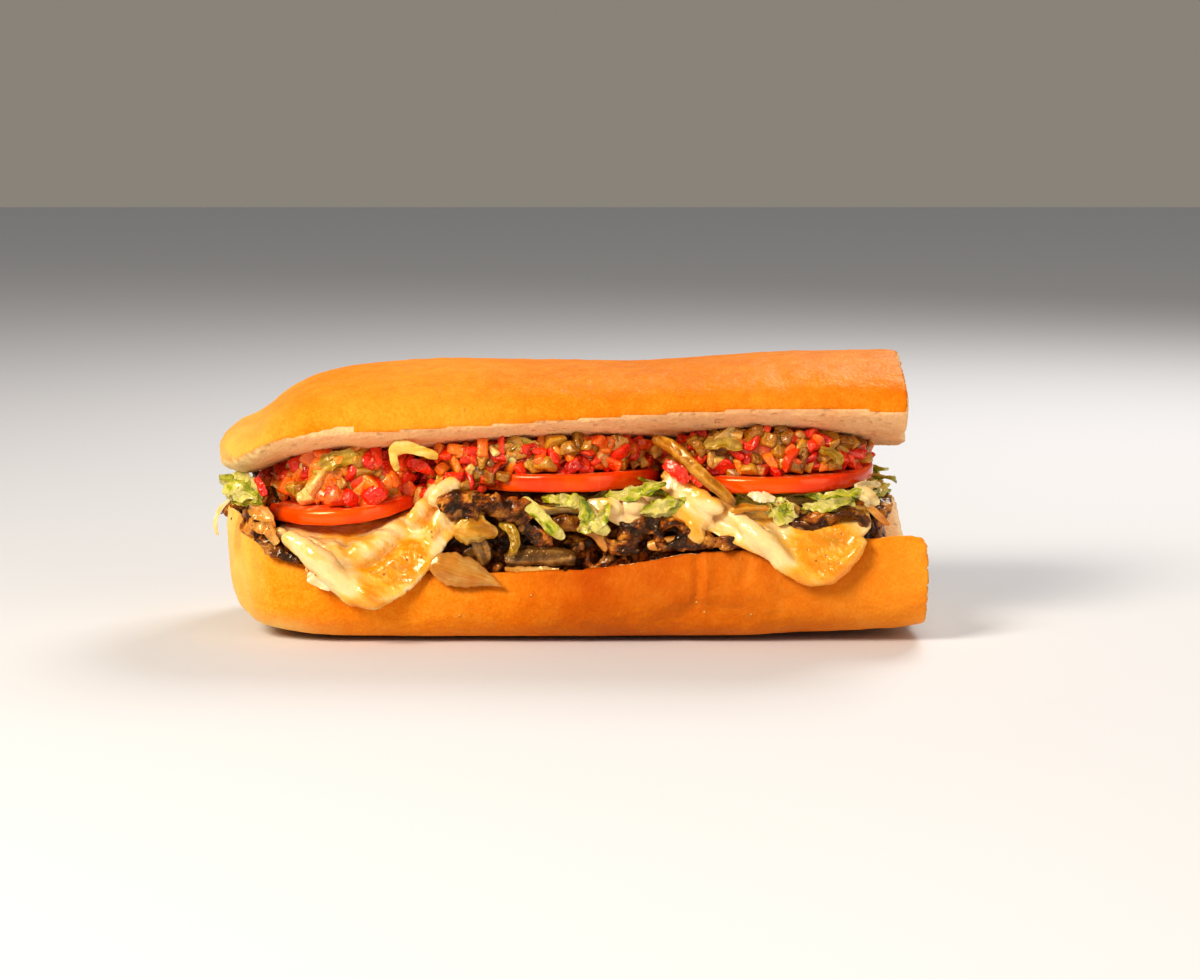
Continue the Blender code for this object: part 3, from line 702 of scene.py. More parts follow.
@dataclass(frozen=True)
class PulpFinish:
    """Wet chopped vegetable, each bit a little different."""

    name: str
    tones: tuple[Colour, Colour, Colour]
    glow: float = 0.35
    reach: Colour = (1.0, 0.35, 0.12)

    def material(self) -> bpy.types.Material:
        """The finish as a material."""
        graph = Graph(self.name)
        dark, middle, light = self.tones
        shade = graph.ramp(graph.painted("tint"), ((0.0, dark), (0.45, middle), (1.0, light)))
        flesh = graph.span(graph.noise(0.0035, 2.0, place=graph.own), 0.42, 0.62)
        shade = graph.blend(graph.sums("MULTIPLY", flesh, 0.45), shade, light)
        fleck = graph.span(graph.noise(0.0009, 1.0, place=graph.own), 0.66, 0.72)
        shade = graph.blend(graph.sums("MULTIPLY", fleck, 0.30), shade, tone(252, 214, 150))
        graph.set(Base_Color=shade, Roughness=graph.span(graph.noise(0.002), 0.3, 0.7, 0.14, 0.36))
        graph.relief((graph.noise(0.0016, 3.0, place=graph.own), 0.0011))
        graph.glow_through(self.glow, self.reach, 0.0028)
        graph.wet(0.5, 0.06)
        return graph.material


@dataclass(frozen=True)
class TomatoFinish:
    """Red skin round the rim, and wet flesh inside it."""

    skin: Colour = tone(246, 92, 0)
    deep: Colour = tone(232, 56, 0)
    flesh: Colour = tone(242, 92, 40)
    vein: Colour = tone(252, 168, 110)

    def material(self) -> bpy.types.Material:
        """The finish as a material."""
        graph = Graph("tomato")
        skin = graph.blend(graph.span(graph.noise(0.016, 2.0), 0.35, 0.65), self.deep, self.skin)
        line = graph.span(graph.noise(0.0016, 2.0, stretch=(1.0, 1.0, 4.0)), 0.55, 0.75, 0.0, 0.35)
        skin = graph.blend(line, skin, tone(252, 112, 20))
        veins = graph.span(graph.noise(0.0022, 3.0), 0.45, 0.62, 0.0, 0.8)
        flesh = graph.blend(veins, self.flesh, self.vein)
        inside = graph.painted("flesh")
        graph.set(
            Base_Color=graph.blend(graph.span(inside, 0.25, 0.6), skin, flesh),
            Roughness=graph.span(inside, 0.2, 0.8, 0.20, 0.32),
        )
        graph.relief((graph.noise(0.012, 2.0), 0.0006), (graph.noise(0.0014, 2.0), 0.00008))
        graph.shader.inputs["Specular Tint"].default_value = (1.0, 0.70, 0.40, 1.0)
        graph.glow_through(0.20, (1.0, 0.30, 0.04), 0.003)
        graph.wet(0.30, 0.12)
        return graph.material


@dataclass(frozen=True)
class CheeseFinish:
    """Melted cheese, cream where it is thick and golden where it has run."""

    cream: Colour = tone(246, 214, 158)
    straw: Colour = tone(240, 190, 96)
    yellow: Colour = tone(240, 168, 40)
    gold: Colour = tone(240, 146, 8)
    # Olive is painted as shade in the dents.
    olive: Colour = tone(170, 118, 14)
    brown: Colour = tone(140, 70, 10)

    def material(self) -> bpy.types.Material:
        """The finish as a material."""
        graph = Graph("cheese")
        flow = graph.noise(0.0042, 4.0, stretch=(4.0, 1.0, 1.0), turn=(0.0, -38.0, 0.0))
        teeth = graph.noise(0.0011, 2.0, stretch=(1.0, 1.0, 5.0), turn=(0.0, 12.0, 0.0))
        amount = graph.sums("ADD", graph.painted("gold"), graph.span(flow, 0.3, 0.7, -0.34, 0.34))
        stops = ((0.08, self.cream), (0.38, self.straw), (0.68, self.yellow), (1.0, self.gold))
        shade = graph.ramp(amount, stops)
        toasted = graph.painted("toasted")
        lines = graph.sums("MULTIPLY", graph.span(teeth, 0.50, 0.62), toasted)
        shade = graph.blend(graph.sums("MULTIPLY", lines, 0.4), shade, tone(250, 214, 120))
        # Painted shade: olive darkening in the dents of the flow folds.
        deep = graph.sums("MULTIPLY", graph.painted("crease_shade"), graph.span(flow, 0.35, 0.6, 0.9, 0.3))
        shade = graph.blend(graph.sums("MULTIPLY", deep, 0.8), shade, self.olive)
        specks = graph.span(graph.cells(0.0024), 0.24, 0.10)
        picked = graph.sums("MULTIPLY", specks, graph.span(graph.noise(0.006, 1.0), 0.48, 0.56))
        picked = graph.sums("MULTIPLY", picked, toasted)
        shade = graph.blend(picked, shade, self.brown)
        veil = graph.sums("MULTIPLY", graph.span(graph.noise(0.003, 2.0), 0.50, 0.72), toasted)
        shade = graph.blend(graph.sums("MULTIPLY", veil, 0.5), shade, tone(206, 128, 30))
        graph.set(Base_Color=shade, Roughness=graph.span(graph.noise(0.004), 0.3, 0.7, 0.14, 0.34))
        waved = graph.sums("MULTIPLY", teeth, toasted)
        graph.relief((flow, 0.0009), (waved, 0.0003), (graph.noise(0.0012, 2.0), 0.00015), (picked, -0.0002))
        graph.glow_through(0.30, (1.0, 0.55, 0.16), 0.003)
        graph.wet(0.60, 0.07)
        return graph.material


@dataclass(frozen=True)
class SteakFinish:
    """Browned beef with its juice and fat."""

    char_and_crevice_shade: Colour = tone(44, 15, 1)
    brown: Colour = tone(104, 44, 4)
    tan: Colour = tone(172, 92, 16)
    light: Colour = tone(222, 150, 54)

    def material(self) -> bpy.types.Material:
        """The finish as a material."""
        graph = Graph("steak")
        fibre = graph.noise(0.0012, 3.0, stretch=(6.0, 1.0, 1.0), place=graph.own)
        lumps = graph.noise(0.0036, 4.0)
        mixed = graph.blend(0.5, fibre, lumps)
        # Raised parts lighter and hollows darker: lighter seared rims, and painted shade in the crevices.
        mixed = graph.blend(0.35, mixed, graph.painted("edge"))
        stops = ((0.38, self.char_and_crevice_shade), (0.48, self.brown), (0.58, self.tan), (0.68, self.light))
        shade = graph.ramp(mixed, stops)
        shade = graph.blend(graph.span(graph.painted("tint"), 0.1, 0.9, 0.45, 1.0), self.char_and_crevice_shade, shade)
        fat = graph.sums("MULTIPLY", graph.span(graph.noise(0.005, 1.0), 0.62, 0.70), 0.5)
        shade = graph.blend(fat, shade, tone(214, 146, 72))
        graph.set(Base_Color=shade, Roughness=graph.span(graph.noise(0.003), 0.35, 0.65, 0.20, 0.5))
        graph.relief((fibre, 0.0011), (graph.noise(0.0010, 3.0), 0.0006))
        graph.shader.inputs["Specular Tint"].default_value = (1.0, 0.72, 0.40, 1.0)
        graph.glow_through(0.06, (1.0, 0.4, 0.2), 0.002)
        graph.wet(0.42, 0.12)
        return graph.material


@dataclass(frozen=True)
class LeafFinish:
    """Lettuce, white at the rib and green towards its ruffled edge."""

    rib: Colour = tone(216, 206, 116)
    green: Colour = tone(146, 158, 4)
    deep: Colour = tone(86, 108, 0)

    def material(self) -> bpy.types.Material:
        """The finish as a material."""
        graph = Graph("lettuce")
        veins = graph.noise(0.0012, 3.0, stretch=(3.0, 1.0, 1.0), place=graph.own)
        patches = graph.span(graph.noise(0.0045, 2.0), 0.35, 0.65, -0.30, 0.35)
        amount = graph.sums("ADD", graph.sums("MULTIPLY", graph.painted("edge"), 0.6), patches)
        amount = graph.sums("ADD", amount, graph.span(veins, 0.3, 0.7, -0.20, 0.35))
        amount = graph.sums("ADD", amount, graph.span(graph.painted("tint"), 0.0, 1.0, -0.30, 0.15))
        shade = graph.ramp(amount, ((0.18, self.rib), (0.45, tone(190, 190, 40)), (0.75, self.green), (1.0, self.deep)))
        graph.set(Base_Color=shade, Roughness=graph.span(graph.noise(0.003), 0.3, 0.7, 0.22, 0.42))
        graph.relief((veins, 0.0009), (graph.noise(0.0009, 2.0, place=graph.own), 0.0004))
        graph.glow_through(0.40, (0.8, 1.0, 0.15), 0.003)
        graph.wet(0.45, 0.10)
        return graph.material


@dataclass(frozen=True)
class SliceFinish:
    """A cooked slice, striped along its length."""

    name: str
    tones: tuple[Colour, Colour, Colour]
    stripe: float
    rim: Colour
    glow: float
    furrow: float = 0.0004

    def material(self) -> bpy.types.Material:
        """The finish as a material."""
        graph = Graph(self.name)
        stripes = graph.noise(self.stripe, 3.0, stretch=(22.0, 1.0, 1.0), place=graph.own)
        clouds = graph.noise(0.006, 3.0)
        mixed = graph.blend(0.55, stripes, clouds)
        dark, middle, light = self.tones
        shade = graph.ramp(mixed, ((0.32, dark), (0.5, middle), (0.68, light)))
        shade = graph.blend(graph.sums("MULTIPLY", graph.painted("rim"), 0.8), shade, self.rim)
        graph.set(Base_Color=shade, Roughness=graph.span(clouds, 0.3, 0.7, 0.14, 0.34))
        graph.shader.inputs["Specular Tint"].default_value = (1.0, 0.80, 0.50, 1.0)
        graph.relief((stripes, self.furrow), (graph.noise(0.0024), self.furrow * 1.5))
        graph.glow_through(self.glow, (1.0, 0.55, 0.22), 0.004)
        graph.wet(0.5, 0.05)
        return graph.material


@dataclass(frozen=True)
class Fold:
    """A ridge or dent along a line on the open side, all in millimetres as seen from there."""

    line: tuple[tuple[float, float], ...]
    width: float
    height: float

    def near(self, points: np.ndarray) -> np.ndarray:
        """How near each point is to the line, from 0 far off to 1 on it, fading at its ends."""
        flat, line = points[:, (0, 2)] / MM, np.array(self.line)
        best, place = np.full(len(flat), np.inf), np.zeros(len(flat))
        for index, (a, b) in enumerate(zip(line[:-1], line[1:])):
            along = np.clip((flat - a) @ (b - a) / ((b - a) @ (b - a)), 0, 1)
            away = np.linalg.norm(flat - (a + along[:, None] * (b - a)), axis=1)
            nearer = away < best
            best = np.where(nearer, away, best)
            place = np.where(nearer, (index + along) / (len(line) - 1), place)
        fading = np.sin(np.pi * np.clip(place * 0.9 + 0.05, 0, 1)) ** 0.6
        return np.exp(-((best / self.width) ** 2)) * fading * (points[:, 1] < -0.01)

    def rise(self, points: np.ndarray) -> np.ndarray:
        """How far each point moves outwards, in metres."""
        return self.height * MM * self.near(points)


@dataclass
class RollHalf:
    """One half of the roll, remeshed finely from its CAD solid and given its baked relief."""

    node: str
    cut_down: bool
    folds: tuple[Fold, ...]
    seed: int
    voxel: float = 0.8 * MM

    def build(self) -> bpy.types.Object:
        """Makes the bread's surface."""
        low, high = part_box(self.node)
        made = Bench.copy_of(self.node, f"{self.node}_bread")
        self.mark_cut(made, low, high)
        Bench.finish(made, "SUBSURF", levels=2, render_levels=2)
        reference = BVHTree.FromPolygons(
            [v.co for v in made.data.vertices], [p.vertices for p in made.data.polygons]
        )
        cut_faces = np.empty(len(made.data.polygons), dtype=np.int32)
        made.data.polygons.foreach_get("material_index", cut_faces)
        Bench.finish(made, "REMESH", mode="VOXEL", voxel_size=self.voxel)
        Bench.finish(made, "SMOOTH", factor=0.5, iterations=2)
        nearest = [reference.find_nearest(v.co)[2] for v in made.data.vertices]
        cut = (cut_faces[nearest] > 0).astype(float)
        if self.cut_down:
            cut = np.maximum(cut, self.open_tip(made))
        self.relief(made, cut, low, high)
        return made

    def mark_cut(self, made: bpy.types.Object, low: Vector, high: Vector) -> None:
        """Gives the faces where the knife went a material slot of their own, and a crisp edge round them.

        Args:
            made: The copy of the CAD node.
            low: Lowest corner of the half's box.
            high: Highest corner of the half's box.
        """
        mesh = made.data
        for _ in range(2):
            mesh.materials.append(None)
        middle = Vector((0.0, 0.0, low[2] if self.cut_down else high[2]))
        facing = -1 if self.cut_down else 1
        inner = min(
            (face for face in mesh.polygons if face.normal.z * facing > 0.7),
            key=lambda face: (face.center - middle).length,
        )
        first = inner.index
        Bench.only(made)
        bpy.ops.object.mode_set(mode="EDIT")
        bpy.ops.mesh.select_mode(type="FACE")
        bpy.ops.mesh.select_all(action="DESELECT")
        bpy.ops.object.mode_set(mode="OBJECT")
        mesh.polygons[first].select = True
        bpy.ops.object.mode_set(mode="EDIT")
        bpy.ops.mesh.faces_select_linked_flat(sharpness=math.radians(34))
        bpy.ops.object.mode_set(mode="OBJECT")
        for face in mesh.polygons:
            inside = face.select and face.normal.z * facing > 0.35
            face.select = inside or face.normal.x > 0.8
            face.material_index = int(face.select)
        bpy.ops.object.mode_set(mode="EDIT")
        bpy.ops.mesh.region_to_loop()
        bpy.ops.transform.edge_crease(value=0.9)
        bpy.ops.object.mode_set(mode="OBJECT")

    def relief(self, made: bpy.types.Object, cut: np.ndarray, low: Vector, high: Vector) -> None:
        """Swells, dents and roughens the surface, and stores what the finish reads.

        Args:
            made: The remeshed half.
            cut: 1 on crumb and 0 on crust, for each point.
            low: Lowest corner of the half's box.
            high: Highest corner of the half's box.
        """
        points, normals = Bench.points(made), Bench.normals(made)
        grain = Grain(self.seed)
        crust = 0.35 * MM * grain.at(points, 0.020) + 0.16 * MM * grain.layered(points, 0.006)
        crust += sum(fold.rise(points) for fold in self.folds)
        torn = np.abs(grain.layered(points + 3, 0.0040))
        crumb = 0.35 * MM * grain.at(points, 0.009) - 0.45 * MM * torn
        end = ease(points[:, 0], high[0] - 0.008, high[0] - 0.001)
        crumb = crumb - end * 0.45 * MM * (1 + grain.at(points + 5, 0.008))
        shift = (crust * (1 - cut) + crumb * cut) * ease(points[:, 2], 0.0002, 0.003)
        Bench.move(made, points + normals * shift[:, None])
        Bench.paint(made, "crumb", cut)
        # Marks the crumb of the cut end face, which the finish lightens as painted light.
        Bench.paint(made, "end", cut * end * ease(normals[:, 0], 0.3, 0.7))
        Bench.paint(made, "soaked", cut * ease(-points[:, 0], 0.070, 0.092) * (points[:, 1] < 0.01))
        Bench.paint(made, "bake_and_shade", self.baking_and_shade(points, low, high))
        Bench.paint(made, "pale", self.paleness_and_end_light(points, normals, low, high))

    def open_tip(self, made: bpy.types.Object) -> np.ndarray:
        """Where crumb shows below the crust's curled edge at the narrow end, from 0 to 1."""
        points = Bench.points(made)
        edge = np.interp(points[:, 0], *(np.array(SOAKED).T * MM))
        inside = (points[:, 0] > -0.0955) & (points[:, 0] < -0.060) & (points[:, 1] < 0)
        return inside * ease(edge - points[:, 2], -0.0002, 0.0004)

    def baking_and_shade(self, points: np.ndarray, low: Vector, high: Vector) -> np.ndarray:
        """How brown the crust is at each point, from 0 to 1: real browning, and on the lower half also painted shade
        across the middle of its front.
        """
        height = (points[:, 2] - low[2]) / (high[2] - low[2])
        if self.cut_down:
            return 0.05 + 0.26 * ease(points[:, 0], -0.05, 0.02) + 0.08 * ease(height, 0.4, 1.0)
        # Lower half: darker across the middle of the front, partly browner baking and partly painted shade.
        middle = np.exp(-(((points[:, 0] - 0.014) / 0.036) ** 2)) * (0.75 + 0.25 * ease(height, 0.1, 0.5))
        shade = 0.16 + 0.72 * middle + 0.26 * ease(points[:, 0], 0.02, 0.06) * ease(-points[:, 0], -0.099, -0.07)
        return np.clip(shade, 0, 1) * ease(points[:, 0], -0.09, -0.03)

    def paleness_and_end_light(self, points: np.ndarray, normals: np.ndarray, low: Vector, high: Vector) -> np.ndarray:
        """How much paler the crust is than elsewhere, from 0 to 1: crust baked less, and at the left end also painted
        light on the lit end.
        """
        grain = Grain(self.seed + 50)
        broken = 0.5 + 0.5 * grain.layered(points, 0.009)
        # The left end is paler: partly crust baked less, partly painted light on the lit end.
        left = ease(-points[:, 0], -low[0] - (0.030 if self.cut_down else 0.016), -low[0] - 0.002)
        if self.cut_down:
            return np.clip(0.65 * left * (0.6 + 0.4 * broken), 0, 1)
        under = ease(-normals[:, 2], 0.25, 0.85) * ease(-points[:, 0], 0.055, 0.085)
        return np.clip(left * (0.55 + 0.45 * broken) + under * broken, 0, 1)


UPPER_FOLDS = (
    Fold(((48, 68), (53, 74)), 1.2, -0.5),
    Fold(((56, 76), (66, 70)), 3.0, -0.7),
    Fold(((70, 77), (61, 69)), 2.2, -0.5),
    Fold(((-88, 56), (-91, 64)), 2.2, -0.6),
    Fold(((-99, 57), (-96, 52.2), (-92, 51.6), (-87, 55), (-78, 58.6)), 1.6, 0.9),
)
LOWER_FOLDS = (
    Fold(((35, 26), (36.2, 18), (35, 11)), 1.3, -1.3),
    Fold(((38.5, 25), (37.5, 15)), 1.6, 1.0),
    Fold(((50, 25), (48, 17)), 1.8, -1.0),
    Fold(((24, 6), (36, 10), (50, 9)), 3.5, -1.2),
    Fold(((56, 20), (60, 14), (66, 12)), 3.0, -0.8),
    Fold(((-89, 30), (-86, 10)), 1.4, -1.2),
    Fold(((-91.5, 26), (-88, 8)), 1.6, 0.8),
    Fold(((28, 29), (34, 26), (40, 28)), 1.6, 0.6),
    Fold(((-20, 22), (-2, 20.5), (14, 22)), 1.8, 0.7),
    Fold(((-14, 17.5), (4, 16.5)), 2.6, -0.6),
)
SOAKED = ((-99.5, 57.0), (-96.5, 52.6), (-93.5, 50.8), (-90.5, 52.2), (-86.2, 55.5), (-78.4, 58.3), (-64.0, 61.7))


@dataclass
class TomatoSlice:
    """A slice of tomato with a rounded rim and sunken seed pockets."""

    node: str
    rim: float = 1.5 * MM
    pockets: int = 6

    def build(self) -> bpy.types.Object:
        """Makes the slice from its CAD disc."""
        low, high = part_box(self.node)
        centre, radius = (low + high) / 2, (high[0] - low[0]) / 2
        made = Bench.copy_of(self.node, f"{self.node}_slice")
        self.ring_caps(made)
        Bench.finish(made, "SUBSURF", levels=3, render_levels=3)
        points, normals = Bench.points(made), Bench.normals(made)
        across = points[:, :2] - np.array(centre)[:2]
        reach = np.linalg.norm(across, axis=1) / radius
        angle = np.arctan2(across[:, 1], across[:, 0])
        flat = ease(np.abs(normals[:, 2]), 0.75, 0.95)
        flesh = flat * ease(reach, 0.965, 0.93)
        pocket = ease(np.cos(self.pockets * angle + centre[0] * 70), 0.1, 0.6) * ease(reach, 0.35, 0.5) * ease(reach, 0.88, 0.8)
        grain = Grain(int(abs(centre[0]) * 1e4) + 1)
        shift = -0.7 * MM * pocket * flat + 0.10 * MM * grain.at(points, 0.004) * flesh
        moved = points + normals * shift[:, None]
        moved[:, 2] += 0.35 * MM * grain.at(points, 0.022)
        Bench.move(made, moved)
        Bench.paint(made, "flesh", flesh)
        return made

    def ring_caps(self, made: bpy.types.Object) -> None:
        """Sets rings into both faces of the disc, so that they can take relief."""
        Bench.only(made)
        for face in made.data.polygons:
            face.select = abs(face.normal.z) > 0.7 and len(face.vertices) > 4
        bpy.ops.object.mode_set(mode="EDIT")
        bpy.ops.mesh.select_mode(type="FACE")
        bpy.ops.mesh.inset(thickness=self.rim * 0.4)
        for width in (self.rim, 4 * MM, 5 * MM, 6 * MM):
            bpy.ops.mesh.inset(thickness=width)
        bpy.ops.object.mode_set(mode="OBJECT")


@dataclass(frozen=True)
class Glow:
    """A round patch on the open side, by its middle, width and strength."""

    x: float
    z: float
    width: float
    strength: float = 1.0

    def at(self, points: np.ndarray) -> np.ndarray:
        """How strongly each point is inside the patch."""
        away = (points[:, 0] - self.x) ** 2 + (points[:, 2] - self.z) ** 2
        return self.strength * np.exp(-away / self.width**2) * (points[:, 1] < -0.02)


@dataclass(frozen=True)
class Strand:
    """A run of thick melted cheese along a line, in millimetres, with its thickness at each point."""

    path: tuple[Colour, ...]
    radii: tuple[float, ...]


@dataclass
class MeltedCheese:
    """The cheese sheet, its two runs over the lower lip, and the thick pale runs that lie on it."""

    node: str = "melted_cheese"
    voxel: float = 0.62 * MM
    golden: tuple[Glow, ...] = (
        Glow(-0.050, 0.020, 0.0110, 1.1),
        Glow(-0.044, 0.026, 0.0090, 0.8),
        Glow(-0.0560, 0.0135, 0.0050, 1.1),
        Glow(-0.062, 0.0270, 0.0030, 1.3),
        Glow(0.072, 0.026, 0.0105, 1.1),
        Glow(0.0640, 0.0205, 0.0028, 0.9),
        Glow(0.030, 0.036, 0.0100, 0.3),
    )
    toasted: tuple[Glow, ...] = (
        Glow(-0.050, 0.024, 0.0100),
        Glow(-0.036, 0.031, 0.0080),
        Glow(0.073, 0.028, 0.0085),
    )
    ridges: tuple[Fold, ...] = (
        Fold(((-82, 31.5), (-74, 27.5), (-66, 21.0), (-61, 15.5), (-55.5, 13)), 3.6, 2.8),
        Fold(((-72, 29.0), (-63, 26.0), (-55, 28), (-47.5, 33), (-41, 38.5), (-37, 43)), 2.6, 2.2),
        Fold(((-60.5, 20), (-57, 16), (-52.5, 12.8)), 1.6, 1.3),
        Fold(((-54, 12.5), (-47, 14.5), (-41, 19.5), (-35, 25)), 2.4, 1.4),
        Fold(((34, 43), (40.6, 39), (47.6, 34.9), (54.6, 29.5), (60, 24.5), (66, 20.5)), 2.9, 2.0),
        Fold(((61, 21), (67, 19.2), (73, 20.2), (77.5, 23.5)), 2.2, 1.4),
        Fold(((8, 37), (16, 39), (26, 37.5), (36, 36)), 3.4, 1.6),
    )
    streaks: tuple[Fold, ...] = (
        Fold(((-78, 31.5), (-70, 26.5), (-64, 21.5)), 2.6, 0.0),
        Fold(((-57, 30), (-50, 33), (-43, 40)), 3.0, 0.0),
        Fold(((-46, 30), (-42, 33), (-38, 39)), 2.4, 0.0),
        Fold(((-40, 24), (-37, 28), (-34, 33)), 1.6, 0.0),
        Fold(((-66, 28), (-60, 25), (-55, 25.5)), 2.6, 0.0),
    )
    creases: tuple[Fold, ...] = (
        Fold(((-65, 22.0), (-57, 22.6), (-51, 26.0), (-45.5, 31.0)), 1.4, -1.9),
        Fold(((-74, 30.5), (-68, 27.0), (-63, 23.0)), 1.2, -1.0),
        Fold(((-52, 24), (-47, 22), (-43, 22.5)), 1.1, -0.8),
        Fold(((-49, 20), (-45, 19), (-42, 21)), 1.0, -0.6),
        Fold(((-62, 30.5), (-63, 27.0), (-61, 24.5)), 1.5, -1.2),
        Fold(((57, 33), (60, 29), (63, 24.5)), 1.3, -1.0),
        Fold(((66, 31.5), (73, 30), (80, 31.5)), 2.2, -0.6),
        Fold(((22, 34), (30, 32.5), (38, 32)), 1.6, -0.8),
    )
    strands: tuple[Strand, ...] = (
        Strand(((-33, -31, 44.5), (-36, -33, 42), (-39, -35, 38), (-43, -36.5, 34)), (3.4, 4.6, 4.6, 3.4)),
        Strand(((-33, -33, 38), (-36, -35, 35), (-39, -37, 31)), (2.4, 3.2, 2.4)),
        Strand(((-78, -38, 30), (-72, -40, 26), (-66, -42, 19.5), (-60, -42.6, 14.5)), (2.6, 3.4, 3.4, 2.4)),
        Strand(((-61, -42.6, 14.8), (-54, -43, 14.0), (-47, -42, 16.5)), (2.4, 3.0, 1.8)),
        Strand(((4, -32, 39), (13, -33.5, 38.5), (21, -34.5, 37.5)), (2.6, 3.8, 4.2)),
        Strand(((17, -31, 39), (21, -33.5, 38), (29, -35, 36.5), (37, -36.5, 34)), (3.6, 4.6, 4.6, 4.0)),
        Strand(((30, -34, 38), (34, -36.5, 34), (36, -38, 30.5)), (4.4, 4.2, 3.0)),
        Strand(((27, -30, 44), (33, -33, 41), (39, -35.5, 38), (45, -37, 35)), (2.6, 3.6, 4.0, 3.2)),
        Strand(
            ((28, -29, 47), (33, -33, 44), (40.6, -36, 39), (47.6, -38, 34.9), (54.6, -40, 29.5), (60, -42, 24.5)),
            (1.8, 2.2, 2.8, 3.0, 3.0, 2.6),
        ),
        Strand(((58, -42, 23.5), (66, -43, 21), (73, -43, 21.4), (78.5, -42.5, 25.5), (81.5, -41, 30)), (2.6, 3.2, 3.2, 2.8, 1.8)),
    )
    flatness: float = 0.5
    fullness: float = 0.80

    def build(self) -> bpy.types.Object:
        """Makes the sheet and its runs as one melted piece, with the folds of its flow."""
        made = Bench.copy_of(self.node, "cheese_sheet")
        Bench.finish(made, "SUBSURF", levels=2, render_levels=2)
        sheet = BVHTree.FromPolygons([v.co for v in made.data.vertices], [p.vertices for p in made.data.polygons])
        runs = self.runs(sheet)
        Bench.only(runs)
        made.select_set(True)
        bpy.context.view_layer.objects.active = made
        bpy.ops.object.join()
        Bench.finish(made, "REMESH", mode="VOXEL", voxel_size=self.voxel)
        Bench.finish(made, "SMOOTH", factor=0.6, iterations=14)
        points, normals = Bench.points(made), Bench.normals(made)
        grain = Grain(21)
        turn = math.radians(38)
        along = points[:, 0] * math.cos(turn) - points[:, 2] * math.sin(turn)
        across = points[:, 0] * math.sin(turn) + points[:, 2] * math.cos(turn)
        flow = grain.layered(np.stack([along / 4, points[:, 1], across], axis=1), 0.0045)
        front = ease(-normals[:, 1], 0.0, 0.6)
        shift = 0.35 * MM * flow + 0.40 * MM * grain.at(points, 0.011)
        shift += front * sum(fold.rise(points) for fold in self.ridges + self.creases)
        Bench.move(made, points + normals * shift[:, None])
        Bench.finish(made, "SMOOTH", factor=0.5, iterations=2)
        streaks = self.ridges[:5] + self.ridges[6:] + self.streaks
        cream = np.clip(sum(fold.near(points) for fold in streaks), 0, 1)
        cream = np.clip(cream * (1 + 0.5 * grain.layered(points + 2, 0.007)), 0, 1)
        gold = 0.26 + np.clip(sum(glow.at(points) for glow in self.golden), 0, 1.0) * 0.72
        tip = np.clip(self.golden[2].at(points) + self.golden[5].at(points), 0, 1)
        Bench.paint(made, "gold", gold * (1 - 0.8 * cream * (1 - 0.7 * tip)))
        toasted = np.clip(sum(glow.at(points) for glow in self.toasted), 0, 1)
        Bench.paint(made, "toasted", toasted * (1 - cream))
        # Marks the dents, where the finish paints shade.
        Bench.paint(made, "crease_shade", np.clip(sum(fold.near(points) for fold in self.creases), 0, 1))
        return made

    def runs(self, sheet: BVHTree) -> bpy.types.Object:
        """Makes the thick runs from overlapping drops, half sunk into the sheet where they cross it.

        Args:
            sheet: The sheet's surface.

        Returns:
            The drops as one piece.
        """
        bead = Forms.bead()
        medley = Medley("cheese_runs", 81)
        for strand in self.strands:
            line = Ribbon(strand.path, 1.0)
            steps = max(8, int(np.linalg.norm(np.diff(np.array(strand.path), axis=0), axis=1).sum() / 0.9))
            shares = np.linspace(0, 1, steps)
            sizes = np.interp(shares, np.linspace(0, 1, len(strand.radii)), strand.radii) * self.fullness * MM
            places = line.line(shares) * MM
            for place, radius in zip(places, sizes):
                hit = sheet.ray_cast(Vector((place[0], -0.1, place[2])), Vector((0, 1, 0)))[0]
                if hit:
                    place[1] = 0.5 * place[1] + 0.5 * (hit.y + 0.3 * radius)
            places[1:-1, 1] = (places[:-2, 1] + places[1:-1, 1] + places[2:, 1]) / 3
            for place, radius in zip(places, sizes):
                swell = 2 * radius * (1 + 0.12 * medley.rng.normal())
                medley.add(bead, place, np.eye(3), (swell, swell * self.flatness, swell))
        return medley.join()


class Pulp(Enum):
    """The kinds of chopped vegetable in the relish, each with its share at the left, in the middle and at the right."""

    RED = ((0.32, 0.40, 0.38), PulpFinish("relish_red", (tone(170, 8, 0), tone(232, 32, 2), tone(248, 72, 14))))
    ORANGE = ((0.38, 0.26, 0.16), PulpFinish("relish_orange", (tone(222, 62, 0), tone(244, 104, 8), tone(250, 146, 36))))
    GREEN = (
        (0.16, 0.26, 0.42),
        PulpFinish("relish_green", (tone(96, 50, 0), tone(160, 98, 4), tone(206, 150, 34)), 0.45, (1.0, 0.8, 0.15)),
    )
    CLEAR = (
        (0.14, 0.12, 0.06),
        PulpFinish("relish_clear", (tone(206, 124, 34), tone(234, 172, 72), tone(248, 220, 150)), 0.5),
    )

    def __init__(self, shares: Colour, finish: PulpFinish) -> None:
        """Keeps the kind's shares and finish."""
        self.shares, self.finish = shares, finish


